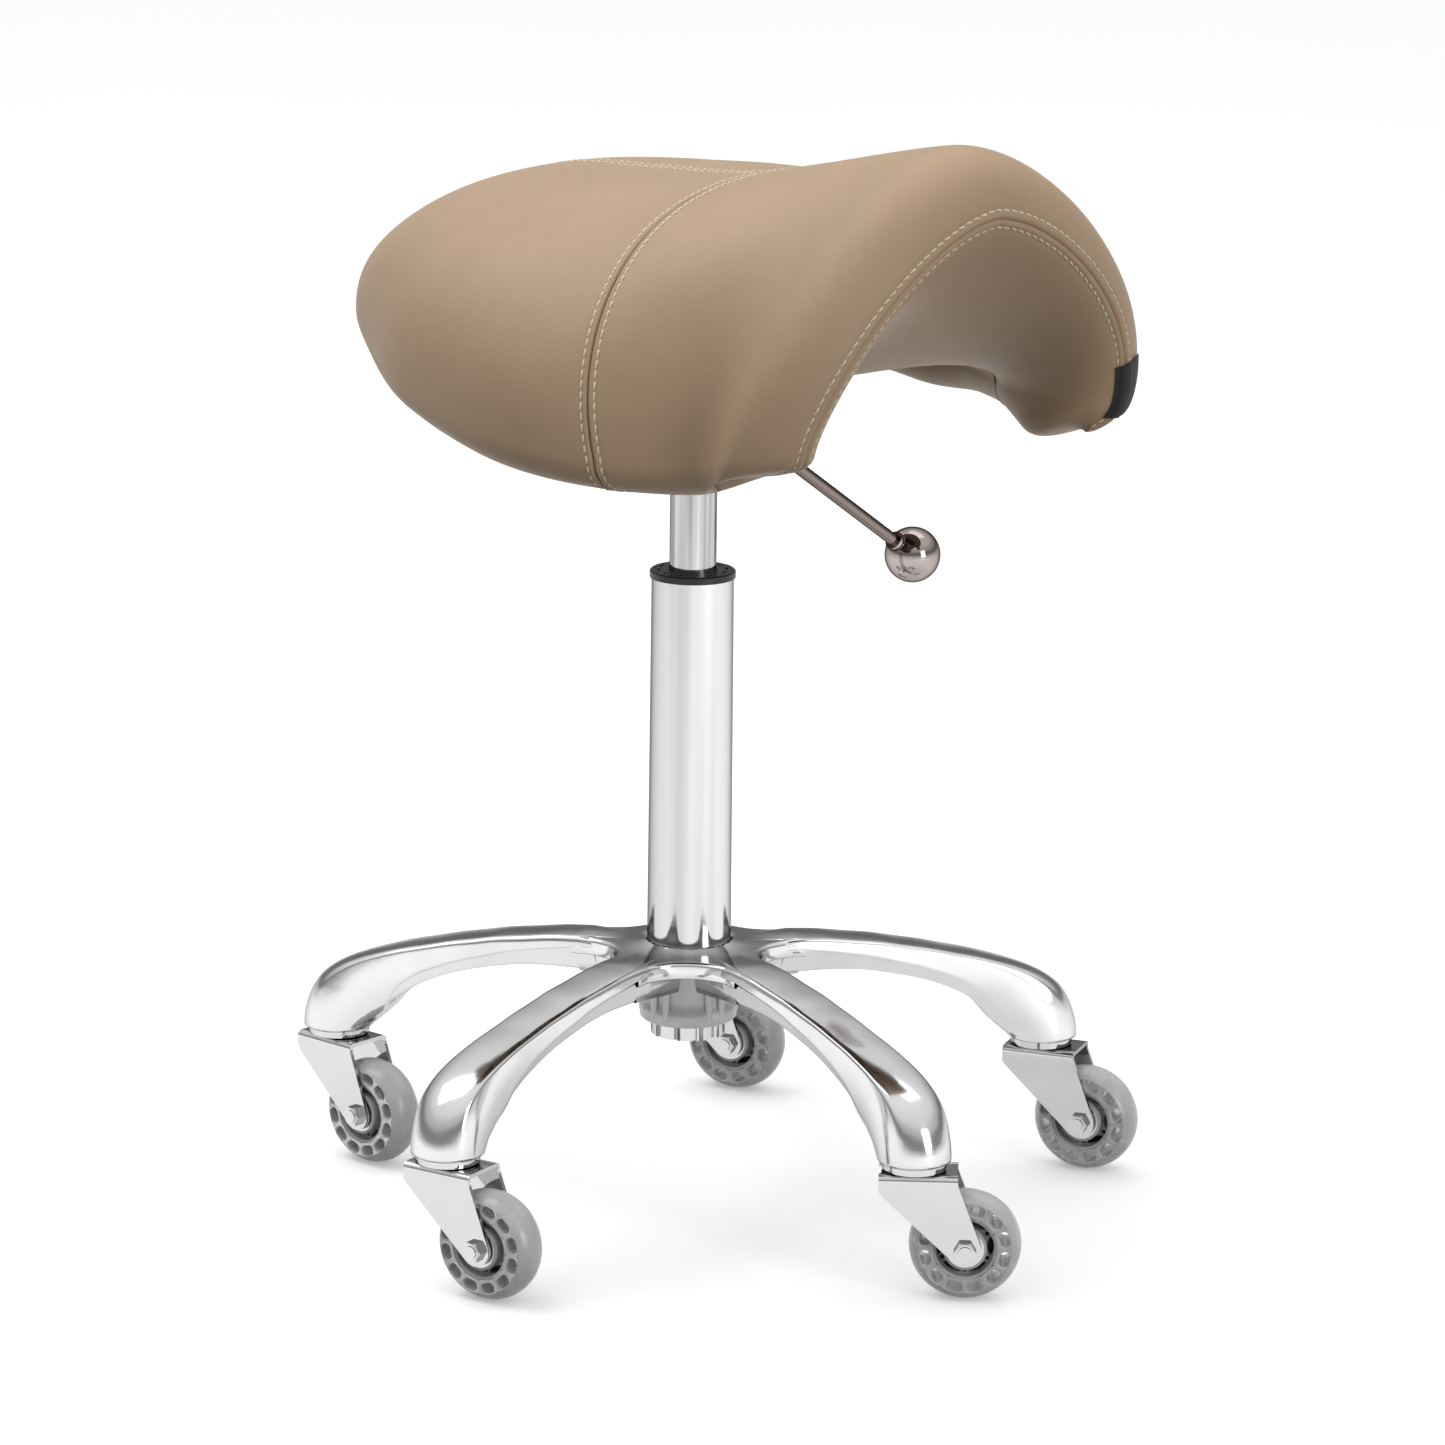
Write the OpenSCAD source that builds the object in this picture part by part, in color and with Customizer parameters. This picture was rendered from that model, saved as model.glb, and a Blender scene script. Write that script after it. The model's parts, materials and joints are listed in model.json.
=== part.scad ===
// Dentist stool: saddle seat on a gas column over a five-star caster base.
// Frame: origin on the floor under the column axis, +Z up. Millimetres.

/* [Display] */
// Which sub-part to draw

/* [Star base] */
// Number of arms and casters
arms = 5; // [5:1:5]
// Radius of the caster swivel circle
swivel_r = 228; // [200:1:260]
// Height of the flat underside of each foot
foot_z = 82.5; // [78:0.5:90]
// Height of the joint between column tube and hub
hub_top_z = 160; // [150:1:170]
// Radius of the hub collar
collar_r = 26.6; // [25:0.1:30]
// Half width of an arm at its top edge
arm_half_top = 15.5; // [12:0.5:20]
// Half width of an arm at its lower edge
arm_half_low = 10.5; // [8:0.5:14]
// Radius of the foot seen from above
foot_r = 21.5; // [18:0.5:25]
// Wall thickness of the cast arm
arm_wall = 4; // [3:0.5:6]
// Radius at which two neighbouring arms part
web_r = 47; // [40:1:55]

/* [Column] */
// Outer radius of the column tube at the hub
tube_r_low = 25.3; // [24:0.1:27]
// Outer radius of the column tube at its top
tube_r_top = 24.5; // [23:0.1:26]
// Height of the top of the column tube
tube_top_z = 382.5; // [340:0.5:420]
// Inner radius of the column tube
tube_bore_r = 22.8; // [21:0.1:23.5]
// Radius of the threaded lower end of the tube
spigot_r = 19; // [17:0.5:20]
// Radius of the black cap on the tube
cap_r = 25.6; // [25:0.1:27]
// Thickness of the cap's rim
cap_h = 4.5; // [3:0.5:8]
// Outer radius of the slotted ring nut
nut_r = 22.5; // [21:0.5:25]

/* [Gas spring] */
// Radius of the lifting cylinder
lift_r = 14; // [14:0.1:14]
// Height of the lower end of the cylinder at rest
lift_bottom_z = 184; // [170:1:190]
// Height where the taper starts
taper_z = 462; // [450:1:470]
// Height of the top of the cylinder
lift_top_z = 501; // [495:1:505]
// Radius of the piston rod
rod_r = 5; // [4:0.5:6]

/* [Casters] */
// Wheel radius
wheel_r = 32.5; // [30:0.5:38]
// Wheel width
wheel_w = 24; // [20:1:28]
// Horizontal trail from swivel to axle
trail = 30.3; // [25:0.1:35]
// Radius of the wheel core
core_r = 18.4; // [17:0.1:20]
// Yaw of each caster at rest, degrees
yaw_1 = -32; // [-180:1:180]
// Yaw of the second caster
yaw_2 = -1.7; // [-180:0.1:180]
// Yaw of the third caster
yaw_3 = -19.8; // [-180:0.1:180]
// Yaw of the fourth caster
yaw_4 = -23.3; // [-180:0.1:180]
// Yaw of the fifth caster
yaw_5 = -40.8; // [-180:0.1:180]

/* [Seat] */
// Direction the saddle's narrow front points to, degrees
seat_yaw = -46; // [-180:0.1:180]
// Distance from the column axis back to the rear rim
seat_rear = 226; // [200:1:240]
// Distance from the column axis to the front seam
seat_front = 245.8; // [230:0.1:255]
// Height of the rear rim
rim_z = 542.5; // [530:0.5:560]
// Height of the inner arch above the column
arch_z = 521; // [519:0.5:525]
// Wall thickness of a flap
flap_t = 56; // [45:1:65]
// Depth of the rounding below a flap
flap_round = 20; // [15:1:25]
// Leather thickness
skin = 1.6; // [1:0.1:3]
// Thickness of the moulded shell
pan_t = 11; // [9:0.5:14]

/* [Lever] */
// Distance from the column axis to the ball
ball_s = 184.5; // [150:0.5:220]
// Height of the ball's centre
ball_z = 370.5; // [340:0.5:420]
// Radius of the ball
ball_r = 17.3; // [15:0.1:20]
// Radius of the lever rod
lever_r = 3.8; // [3:0.1:6]

/* [Hidden] */
$fn = 96;
eps = 0.01;
arm_az = [for (i = [0:arms - 1]) -126 + 72 * i];
yaws = [yaw_1, yaw_2, yaw_3, yaw_4, yaw_5];
pivot_s = 24;
pivot_z = 498.5;
plate_z = 515.5;
plate_t = 3;
// Seat stations along its length, and the crown, width and flap heights there
st = [-190, -120, -40, 45, 110, 180, 245];
crown = [619.8, 626.3, 623.6, 628.8, 641.5, 657.5, 668.8];
halfw = [155, 168, 193.5, 205.8, 192.5, 152.4, 167.4];
flapz = [535.7, 523.9, 513, 499.3, 493.9, 491.7, 505.1];
front_drop = 43.6;
front_inset = 41.7;
front_len = 40.4;
seat_c = -6.3;
// Seams: position and rake of the one across the saddle, half gap between panels,
// and how far back the nose panel reaches
seam_l = 67.4;
seam_rake = 54.1;
seam_gap = 0.12;
nose_rear = 132;
// Lean of the front, its swing under the flaps and where that starts
lean = 0.0014;
lean_power = 2.77;
swing = 38.5;
swing_k = 1.08;
// Gap between cover and foam, and where the foam ends
foam_gap = 3.4;
foam_front = 198;
// Tag: where it starts and ends across the flap, and its width along it
tag_k = 0.87;
tag_dk = 0.28;
tag_w = 22;

chrome = [0.80, 0.81, 0.83];
alu = [0.78, 0.79, 0.81];
dark = [0.12, 0.12, 0.13];
grey = [0.55, 0.55, 0.56];
tan = [0.66, 0.56, 0.46];

// Rings

module tube(r_out, r_in, z0, z1) {
  translate([0, 0, z0]) difference() {
    cylinder(r = r_out, h = z1 - z0);
    translate([0, 0, -1]) cylinder(r = r_in, h = z1 - z0 + 2);
  }
}

// Star base casting

function arm_top() = [[0, 160], [40, 159.5], [70, 158.5], [102, 154.7], [134, 149.3], [167, 142],
  [200, 133.8], [214, 129], [226, 123.6], [236, 116], [243, 107], [248, 96], [249.5, 88],
  [249.5, foot_z]];
function arm_low() = [[206.5, foot_z], [206.5, 84], [199, 88], [190, 96], [184.5, 105], [174, 113],
  [148, 125], [116, 133], [97, 135.6], [63, 136], [34, 133], [0, 133]];
function cav_top() = [[30, 150], [70, 152], [102, 149], [134, 143.5], [167, 136], [196, 128],
  [196, 60], [150, 60], [30, 60]];

module arm_slab(half_in, half_out, h0, h1) {
  intersection() {
    rotate([90, 0, 0]) linear_extrude(height = 60, center = true)
      polygon(concat(arm_top(), arm_low()));
    translate([0, 0, h0]) linear_extrude(height = h1 - h0)
      union() {
        polygon([[0, -half_in - 2], [60, -half_in], [170, -half_in], [205, -half_out],
          [swivel_r, -half_out], [swivel_r, half_out], [205, half_out], [170, half_in],
          [60, half_in], [0, half_in + 2]]);
        translate([swivel_r, 0]) circle(r = half_out);
      }
  }
}

module arm_body() {
  intersection() {
    arm_slab(arm_half_top, foot_r, 60, 170);
    rotate([90, 0, 90]) linear_extrude(height = 260)
      polygon([[-foot_r, 60], [-foot_r, 112], [-arm_half_top, 134], [-arm_half_top, 158],
        [-arm_half_top + 3, 170], [arm_half_top - 3, 170], [arm_half_top, 158],
        [arm_half_top, 134], [foot_r, 112], [foot_r, 60]]);
  }
}

module arm_cavity() {
  difference() {
    intersection() {
      rotate([90, 0, 0]) linear_extrude(height = 60, center = true) polygon(cav_top());
      translate([0, 0, 50]) linear_extrude(height = 110)
        polygon([[30, -arm_half_top + arm_wall], [170, -arm_half_top + arm_wall],
          [196, -arm_half_top], [196, arm_half_top], [170, arm_half_top - arm_wall],
          [30, arm_half_top - arm_wall]]);
    }
    translate([0, 0, 60]) cylinder(r = 31.5, h = 110);
  }
}

module web_plate() {
  difference() {
    translate([0, 0, 147]) linear_extrude(height = 10.5)
      difference() {
        circle(r = 62);
        for (i = [0:arms - 1])
          rotate(arm_az[i] + 36) translate([web_r + 7, 0]) circle(r = 7);
        for (i = [0:arms - 1])
          rotate(arm_az[i] + 36)
            polygon([[web_r + 7, -7], [web_r + 40, -24], [web_r + 40, 24], [web_r + 7, 7]]);
      }
  }
}

module star_base() {
  color(alu) difference() {
    union() {
      for (i = [0:arms - 1]) rotate(arm_az[i]) arm_body();
      web_plate();
      translate([0, 0, 112]) cylinder(r = 27.5, h = 40);
      translate([0, 0, 111]) cylinder(r = 29, h = 9);
      for (i = [0:arms - 1]) rotate(arm_az[i] + 36) translate([24, -3, 114]) cube([6.5, 6, 36]);
      translate([0, 0, 150]) cylinder(r1 = 33, r2 = collar_r, h = 6.5);
      translate([0, 0, 150]) cylinder(r = collar_r, h = hub_top_z - 150);
    }
    for (i = [0:arms - 1]) rotate(arm_az[i]) {
      arm_cavity();
      translate([swivel_r, 0, foot_z - 1]) cylinder(r = 5.02, h = 24);
    }
    translate([0, 0, 90]) cylinder(r = spigot_r + 0.02, h = 80);
  }
}

// Column

module column_tube() {
  color(chrome) difference() {
    union() {
      translate([0, 0, hub_top_z + 0.02])
        cylinder(r1 = tube_r_low, r2 = tube_r_top, h = tube_top_z - hub_top_z - 0.02);
      translate([0, 0, 102]) cylinder(r = spigot_r, h = hub_top_z - 101);
    }
    translate([0, 0, 166]) cylinder(r = tube_bore_r, h = 240);
    translate([0, 0, 106]) cylinder(r = 16.2, h = 80);
    translate([0, 0, 95]) cylinder(r = rod_r + 0.06, h = 40);
  }
}

module column_cap() {
  color(dark) difference() {
    union() {
      translate([0, 0, tube_top_z + 0.02]) cylinder(r = cap_r, h = cap_h - 0.02 - 0.8);
      translate([0, 0, tube_top_z + cap_h - 0.8]) cylinder(r1 = cap_r, r2 = cap_r - 0.8, h = 0.8);
    }
    translate([0, 0, tube_top_z - 1]) cylinder(r = lift_r + 0.35, h = 12);
    for (i = [0:11]) rotate(30 * i + 8)
      translate([19.4, -2.6, tube_top_z + cap_h - 1.6]) cube([1.6, 5.2, 3]);
    for (i = [0:11]) rotate(30 * i + 23)
      translate([22.6, 0, tube_top_z + cap_h - 1.6]) cylinder(r = 0.9, h = 3, $fn = 24);
  }
}

module guide_bush() {
  color(dark) tube(tube_bore_r - 0.03, lift_r + 0.06, 262, tube_top_z - 0.02);
}

module ring_nut() {
  color(chrome) difference() {
    tube(nut_r, spigot_r + 0.02, 101.5, 110.9);
    for (i = [0:11]) rotate(30 * i + 12) translate([20.6, -1.1, 101]) cube([3, 2.2, 11]);
  }
}

module thrust_bearing() {
  color(chrome) difference() {
    tube(14, rod_r + 0.06, 106.02, 111);
    translate([0, 0, 107.6]) difference() {
      cylinder(r = 15, h = 1.8);
      translate([0, 0, -1]) cylinder(r = 12.8, h = 4);
    }
  }
}

// Gas spring

module piston_rod() {
  color(chrome) union() {
    translate([0, 0, 97.5]) cylinder(r = rod_r, h = 2);
    translate([0, 0, 99.4]) cylinder(r = rod_r - 0.8, h = 1.3);
    translate([0, 0, 100.6]) cylinder(r = rod_r, h = 183.4);
    translate([0, 0, 111.3]) cylinder(r = 8, h = 3);
  }
}

module piston() {
  color(dark) difference() {
    tube(11.44, rod_r + 0.02, 272, 281);
    translate([0, 0, 275]) difference() {
      cylinder(r = 13, h = 2.4);
      translate([0, 0, -1]) cylinder(r = 10.2, h = 5);
    }
  }
}

module rod_clip() {
  color(dark) translate([0, 0, 99.55]) difference() {
    cylinder(r = 7.6, h = 1);
    translate([0, 0, -1]) cylinder(r = rod_r - 0.78, h = 4);
    translate([0, -1.8, -1]) cube([12, 3.6, 4]);
  }
}

module gas_cylinder() {
  color(chrome) difference() {
    union() {
      translate([0, 0, lift_bottom_z]) cylinder(r = lift_r, h = taper_z - lift_bottom_z);
      translate([0, 0, taper_z]) cylinder(r1 = lift_r, r2 = 13, h = lift_top_z - taper_z);
    }
    translate([0, 0, lift_bottom_z - 1]) cylinder(r = 11.5, h = 302);
    translate([0, 0, 480]) cylinder(r = 4.06, h = 30);
  }
}

module cylinder_gland() {
  color(dark) tube(11.48, rod_r + 0.06, lift_bottom_z + 0.4, lift_bottom_z + 9);
}

module release_pin() {
  color(chrome) union() {
    translate([0, 0, 487]) cylinder(r = 4, h = 19.2);
    translate([0, 0, 505.4]) cylinder(r = 3.4, h = 1.3);
  }
}

// Everything carried by the seat is drawn along its own length, then turned to the seat's yaw.

module on_seat() {
  rotate(seat_yaw) children();
}

module mount_plate() {
  color(dark) on_seat() difference() {
    union() {
      translate([-80, -55, plate_z]) cube([160, 110, plate_t]);
      translate([0, 0, 466]) cylinder(r = 19, h = plate_z - 466 + 1);
      translate([-9.5, 17, 490]) cube([4.7, 14, plate_z - 490 + 1]);
      translate([4.8, 17, 490]) cube([4.7, 14, plate_z - 490 + 1]);
      translate([-72, -1.5, 500]) cube([144, 3, plate_z - 500 + 1]);
    }
    translate([0, 0, taper_z - 0.5]) cylinder(r1 = lift_r + 0.05, r2 = 13.02, h = 39.6);
    translate([0, 0, 460]) cylinder(r = lift_r + 0.04, h = 4);
    translate([0, 0, 500]) cylinder(r = 13.02, h = 12.6);
    translate([-4.7, 0, 503]) cube([9.4, 40, 9.6]);
    translate([0, pivot_s, pivot_z]) rotate([0, 90, 0]) cylinder(r = 7.8, h = 9.4, center = true);
    translate([0, pivot_s, pivot_z]) rotate([0, 90, 0]) cylinder(r = 3.01, h = 40, center = true);
    for (x = [-60, 60]) for (y = [-40, 40])
      translate([x, y, plate_z - 5]) cylinder(r = 4.05, h = 20);
  }
}

module plate_bolts() {
  color(chrome) on_seat() for (x = [-60, 60]) for (y = [-40, 40]) translate([x, y, 0]) {
    translate([0, 0, plate_z - 5.3]) cylinder(r = 7.5, h = 5.28, $fn = 6);
    translate([0, 0, plate_z - 1]) cylinder(r = 4, h = 17);
  }
}

module pivot_pin() {
  color(chrome) on_seat() translate([0, pivot_s, pivot_z]) rotate([0, 90, 0]) union() {
    cylinder(r = 2.99, h = 21, center = true);
    translate([0, 0, 10.4]) cylinder(r = 5, h = 1.8);
    translate([0, 0, -12.2]) cylinder(r = 5, h = 1.8);
  }
}

module lever_rod() {
  ds = ball_s - 33;
  dz = ball_z - 473;
  ln = sqrt(ds * ds + dz * dz);
  ang = 90 - atan2(dz, ds);
  color(chrome) on_seat() difference() {
    union() {
      translate([0, 33, 473]) rotate([-ang, 0, 0]) cylinder(r = lever_r, h = ln - ball_r + 6);
      rotate([90, 0, 90]) translate([0, 0, -4]) linear_extrude(height = 8) union() {
        translate([pivot_s, pivot_z]) circle(r = 7);
        polygon([[-4, 507.2], [-4, 512], [20, 512], [24, 505.5], [30, 501.5], [43, 474], [39, 464],
          [28, 466], [26, 480], [20.4, 492.5], [19, 503.5], [12, 507.2]]);
      }
    }
    translate([0, pivot_s, pivot_z]) rotate([0, 90, 0]) cylinder(r = 3.05, h = 40, center = true);
  }
}

module lever_ball() {
  ds = ball_s - 33;
  dz = ball_z - 473;
  ln = sqrt(ds * ds + dz * dz);
  ang = 90 - atan2(dz, ds);
  color(chrome) on_seat() difference() {
    union() {
      translate([0, ball_s, ball_z]) sphere(r = ball_r);
      translate([0, 33, 473]) rotate([-ang, 0, 0]) translate([0, 0, ln - ball_r - 3])
        cylinder(r = 6, h = 6);
    }
    translate([0, 33, 473]) rotate([-ang, 0, 0]) cylinder(r = lever_r + 0.01, h = ln - ball_r + 6.02);
  }
}

// Casters: swivel axis at the origin, axle at +x

module caster_at(i) {
  rotate(arm_az[i]) translate([swivel_r, 0, 0]) rotate(-arm_az[i] + yaws[i]) children();
}

module wheel_at(i) {
  caster_at(i) translate([trail, 0, wheel_r]) rotate([90, 0, 0]) children();
}

module stem(i) {
  color(chrome) caster_at(i) union() {
    translate([0, 0, 70.4]) cylinder(r = 9, h = 2.8);
    translate([0, 0, 70.4]) cylinder(r = 5, h = 33.6);
  }
}

module raceway(i) {
  color(chrome) caster_at(i) difference() {
    union() {
      translate([0, 0, 77.2]) cylinder(r = 18.2, h = 0.8);
      translate([0, 0, 78]) cylinder(r = 18.8, h = 3);
      translate([0, 0, 81]) cylinder(r1 = 18.8, r2 = 17.8, h = 0.8);
      translate([0, 0, 81.7]) cylinder(r = 13, h = foot_z - 81.72);
    }
    translate([0, 0, 70]) cylinder(r = 5.02, h = 20);
  }
}

function tangent(px, py, r, side) =
  let (d = sqrt(px * px + py * py), a = atan2(py, px), b = acos(r / d))
  [r * cos(a + side * b), r * sin(a + side * b)];

module fork_cheek() {
  r = 9.5;
  px = -20 - trail;
  ta = tangent(px, 66 - wheel_r, r, 1);
  tb = tangent(25.5 - trail, 72 - wheel_r, r, -1);
  linear_extrude(height = 2.5) difference() {
    union() {
      circle(r = r);
      polygon([[px, 76.5 - wheel_r], [px, 66 - wheel_r], ta, [0, 0], tb,
        [25.5 - trail, 72 - wheel_r], [25.5 - trail, 76.5 - wheel_r]]);
    }
    circle(r = 4.02);
  }
}

module fork(i) {
  color(chrome) union() {
    wheel_at(i) {
      translate([0, 0, 13.5]) fork_cheek();
      translate([0, 0, -16]) fork_cheek();
    }
    caster_at(i) difference() {
      union() {
        translate([-20, -16, 73.5]) cube([45.5, 32, 3]);
        translate([0, 0, 73.5]) cylinder(r = 18.4, h = 3);
      }
      translate([0, 0, 70]) cylinder(r = 5.08, h = 10);
    }
  }
}

module axle(i) {
  color(chrome) wheel_at(i) union() {
    translate([0, 0, -20]) cylinder(r = 4, h = 41.5);
    translate([0, 0, 16.02]) cylinder(r = 6.5, h = 3.8, $fn = 6);
    translate([0, 0, 19.5]) cylinder(r = 5.4, h = 1);
    translate([0, 0, -21.3]) cylinder(r = 7, h = 5.28, $fn = 6);
    translate([0, 0, 12.75]) cylinder(r = 6, h = 0.73);
    translate([0, 0, -13.48]) cylinder(r = 6, h = 0.73);
  }
}

module core_plate() {
  difference() {
    circle(r = core_r - 0.5);
    circle(r = 11.5);
    for (k = [0:5]) rotate(60 * k + 30) translate([0, 14.7]) intersection() {
      translate([0, -8.6]) circle(r = 10.6);
      translate([0, 8.6]) circle(r = 10.6);
    }
    for (k = [0:5]) rotate(60 * k) translate([0, 14.8]) circle(r = 1.5);
  }
}

module core(i) {
  color(grey) wheel_at(i) union() {
    translate([0, 0, -5]) linear_extrude(height = 10) core_plate();
    tube(core_r, 16.9, -11, 11);
    tube(12.6, 11.01, -12.3, 12.3);
    tube(11.5, 7, -5.4, 5.4);
  }
}

module tyre(i) {
  color(grey) wheel_at(i) difference() {
    rotate_extrude() intersection() {
      translate([core_r + 0.02, -wheel_w / 2]) square([20, wheel_w]);
      translate([wheel_r - 16, 0]) circle(r = 16);
    }
    translate([0, 0, -20]) linear_extrude(height = 40)
      for (k = [0:11]) rotate(30 * k + 15) translate([0, 23.6]) {
        square([3, 6.4], center = true);
        translate([-1.5, 0]) circle(r = 3.2);
        translate([1.5, 0]) circle(r = 3.2);
      }
  }
}

module bearing(i) {
  color(chrome) wheel_at(i) for (s = [-1, 1]) translate([0, 0, s * 9 - 3.5]) difference() {
    cylinder(r = 10.99, h = 7);
    translate([0, 0, -1]) cylinder(r = 4.06, h = 9);
    translate([0, 0, 6.4]) difference() {
      cylinder(r = 9.3, h = 2);
      translate([0, 0, -1]) cylinder(r = 5.9, h = 4);
    }
    translate([0, 0, -1.4]) difference() {
      cylinder(r = 9.3, h = 2);
      translate([0, 0, -1]) cylinder(r = 5.9, h = 4);
    }
  }
}

// Saddle surface

function seg(x) = x < st[1] ? 0 : x < st[2] ? 1 : x < st[3] ? 2 : x < st[4] ? 3 : x < st[5] ? 4 : 5;
function slope(y, i) = i == 0 ? (y[1] - y[0]) / (st[1] - st[0])
  : i == 6 ? (y[6] - y[5]) / (st[6] - st[5])
  : (y[i + 1] - y[i - 1]) / (st[i + 1] - st[i - 1]);
function herm(y, x0) =
  let (x = min(max(x0, st[0]), st[6]), i = seg(x), h = st[i + 1] - st[i], t = (x - st[i]) / h)
  (2 * t * t * t - 3 * t * t + 1) * y[i] + (t * t * t - 2 * t * t + t) * h * slope(y, i)
  + (3 * t * t - 2 * t * t * t) * y[i + 1] + (t * t * t - t * t) * h * slope(y, i + 1);
function sat(x) = min(max(x, 0), 1);
function smooth(x) = let (t = sat(x)) t * t * (3 - 2 * t);

// Section of the saddle at station l: crown, half width, flap height, rounding, flap
// thickness, arch, and the powers that shape the outer and the inner curve
function sec(l) =
  let (
    q = sat((seat_c - l) / (seat_c + seat_rear)),
    ew = pow(max(1 - pow(q, 2.34), 0), 1 / 2.34),
    ez = pow(max(1 - pow(q, 2.13), 0), 1 / 2.13),
    f = sat((l - seat_front + front_len) / front_len),
    fr = 1 - sqrt(max(1 - f * f, 0)),
    w = herm(halfw, l) * ew - front_inset * fr,
    zt = rim_z + (herm(crown, l) - rim_z) * ez - front_drop * fr,
    zb = rim_z - (rim_z - herm(flapz, l)) * ez,
    g = smooth((l - 100) / (seat_front - 100)),
    t = min(flap_t + (7 - flap_t) * g, 0.62 * w),
    back = smooth((l + 165) / 70),
    zi0 = arch_z + (zt - 7 - arch_z) * pow(sat((l - 100) / (seat_front - 100)), 1.35),
    zi = zb + (zi0 - zb) * back,
    n = l < seat_c ? 1.98 + 0.4 * (l + seat_rear) / (seat_c + seat_rear)
      : 2.38 - 0.78 * (l - seat_c) / (seat_front - seat_c),
    e = 0.8 + (2 / n - 0.8) * g
  )
  [zt, w, zb, flap_round * ez * sat(t / 40), t, zi, n, e];

// The front leans back as it drops, and swings back further under the flaps
function shear(l, zt, z, q) =
  let (s = pow(sat((l - 40) / (seat_front - 40)), lean_power), d = zt - z)
  l - s * (lean * d * d + swing * smooth((min(q, 3 - q) - swing_k) / (1.5 - swing_k)));

NA = 9;
NB = 3;
// Space that the foam leaves for the moulded shell at station l
function shell_room(l) = (pan_t + 3) * smooth((l + 178) / 36) * (1 - smooth((l - 130) / 40));

// Closed ring of foam points at station l, a distance d inside the cover
function ring(l, d) =
  let (c = sec(l), room = shell_room(l), zt = c[0] - d, w = max(c[1] - d, 0.8), zb = c[2] + 3,
    hr = max(c[3] - d, 0.6), t = max(c[4] - 2 * d - room, 0.5),
    zi = min(c[5] + d + room, zt - 1.2), wi = w - t, n = c[6], e = 2 / n)
  concat(
    [for (j = [-NA:NA]) let (a = 90 * j / NA, z = zb + (zt - zb) * pow(abs(cos(a)), e))
      [shear(l, c[0], z, abs(j) / NA), sign(j) * w * pow(abs(sin(a)), e), z]],
    [for (k = [1:NB]) let (a = 180 * k / (NB + 1), z = zb - hr * sin(a))
      [shear(l, c[0], z, 1 + a / 180), w - t / 2 * (1 - cos(a)), z]],
    [for (j = [NA:-1:-NA]) let (a = 90 * j / NA, z = zb + (zi - zb) * pow(abs(cos(a)), c[7]))
      [shear(l, c[0], z, 2), sign(j) * wi * pow(abs(sin(a)), c[7]), z]],
    [for (k = [NB:-1:1]) let (a = 180 * k / (NB + 1), z = zb - hr * sin(a))
      [shear(l, c[0], z, 1 + a / 180), -(w - t / 2 * (1 - cos(a))), z]]
  );

RP = 2 * (2 * NA + 1) + 2 * NB;
function cap_faces(b, flip) =
  let (m = 2 * NA + 1, io = m + NB,
    tris = concat(
      [for (j = [0:2 * NA - 1]) [b + j, b + j + 1, b + io + 2 * NA - j]],
      [for (j = [0:2 * NA - 1]) [b + j + 1, b + io + 2 * NA - j - 1, b + io + 2 * NA - j]],
      [for (k = [0:NB - 1]) [b + 2 * NA, b + m + k, b + m + k + 1]],
      [for (k = [0:NB - 1]) let (p = b + io + m + k) [b, b + io + m - 1 + k, p]]
    ))
  [for (t = tris) flip ? [t[2], t[1], t[0]] : t];

module sweep(ls, d) {
  n = len(ls);
  pts = [for (l = ls) for (p = ring(l, d)) p];
  side = [for (i = [0:n - 2]) for (j = [0:RP - 1])
    let (a = i * RP + j, b = i * RP + (j + 1) % RP) each [[a, b, a + RP], [b, b + RP, a + RP]]];
  polyhedron(points = pts, faces = concat(side, cap_faces(0, true), cap_faces((n - 1) * RP, false)),
    convexity = 8);
}

// Stations from a to b, closer together round the rear rim
function stations(a, b) =
  concat([for (t = [0:7]) a + (-120 - a) * (1 - cos(90 * t / 8))],
    [for (t = [0:18]) -120 + (b + 120) * t / 18]);

// The moulded shell follows the inner arch, from offset d0 to offset d1, over steps j0 to j1 of it
function arch_point(l, j, d) =
  let (c = sec(l), a = 90 * abs(j) / NA, zb = c[2] + 4)
  [l, sign(j) * (c[1] - c[4] + d) * pow(sin(a), 0.8), zb + (c[5] + d - zb) * pow(cos(a), 0.8)];

function pan_ring(l, d0, d1, j0, j1) =
  concat([for (j = [j0:j1]) arch_point(l, j, d1)], [for (j = [j1:-1:j0]) arch_point(l, j, d0)]);

module pan_sweep(ls, d0, d1, j0 = -NA, j1 = NA) {
  n = len(ls);
  m = j1 - j0 + 1;
  rp = 2 * m;
  pts = [for (l = ls) for (p = pan_ring(l, d0, d1, j0, j1)) p];
  side = [for (i = [0:n - 2]) for (j = [0:rp - 1])
    let (a = i * rp + j, b = i * rp + (j + 1) % rp) each [[a, b, a + rp], [b, b + rp, a + rp]]];
  caps = [for (e = [0, n - 1]) for (j = [0:m - 2])
    let (b = e * rp, p = b + j, q = b + j + 1, r = b + rp - 1 - j, s = b + rp - 2 - j)
    each (e == 0 ? [[r, q, p], [r, s, q]] : [[p, q, r], [q, s, r]])];
  polyhedron(points = pts, faces = concat(side, caps), convexity = 6);
}

pan_ls = [for (t = [0:10]) -128 + 24.6 * t];

module seat_pan() {
  color([0.55, 0.40, 0.26]) on_seat() difference() {
    pan_sweep(pan_ls, 0, pan_t, -NA + 1, NA - 1);
    for (x = [-60, 60]) for (y = [-40, 40])
      translate([x, y, 500]) cylinder(r = 4.05, h = 60, $fn = 32);
  }
}

module seat_foam() {
  d = skin + foam_gap;
  color([0.85, 0.80, 0.62]) on_seat() sweep(stations(-seat_rear + 2 * d, foam_front), d);
}

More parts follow.
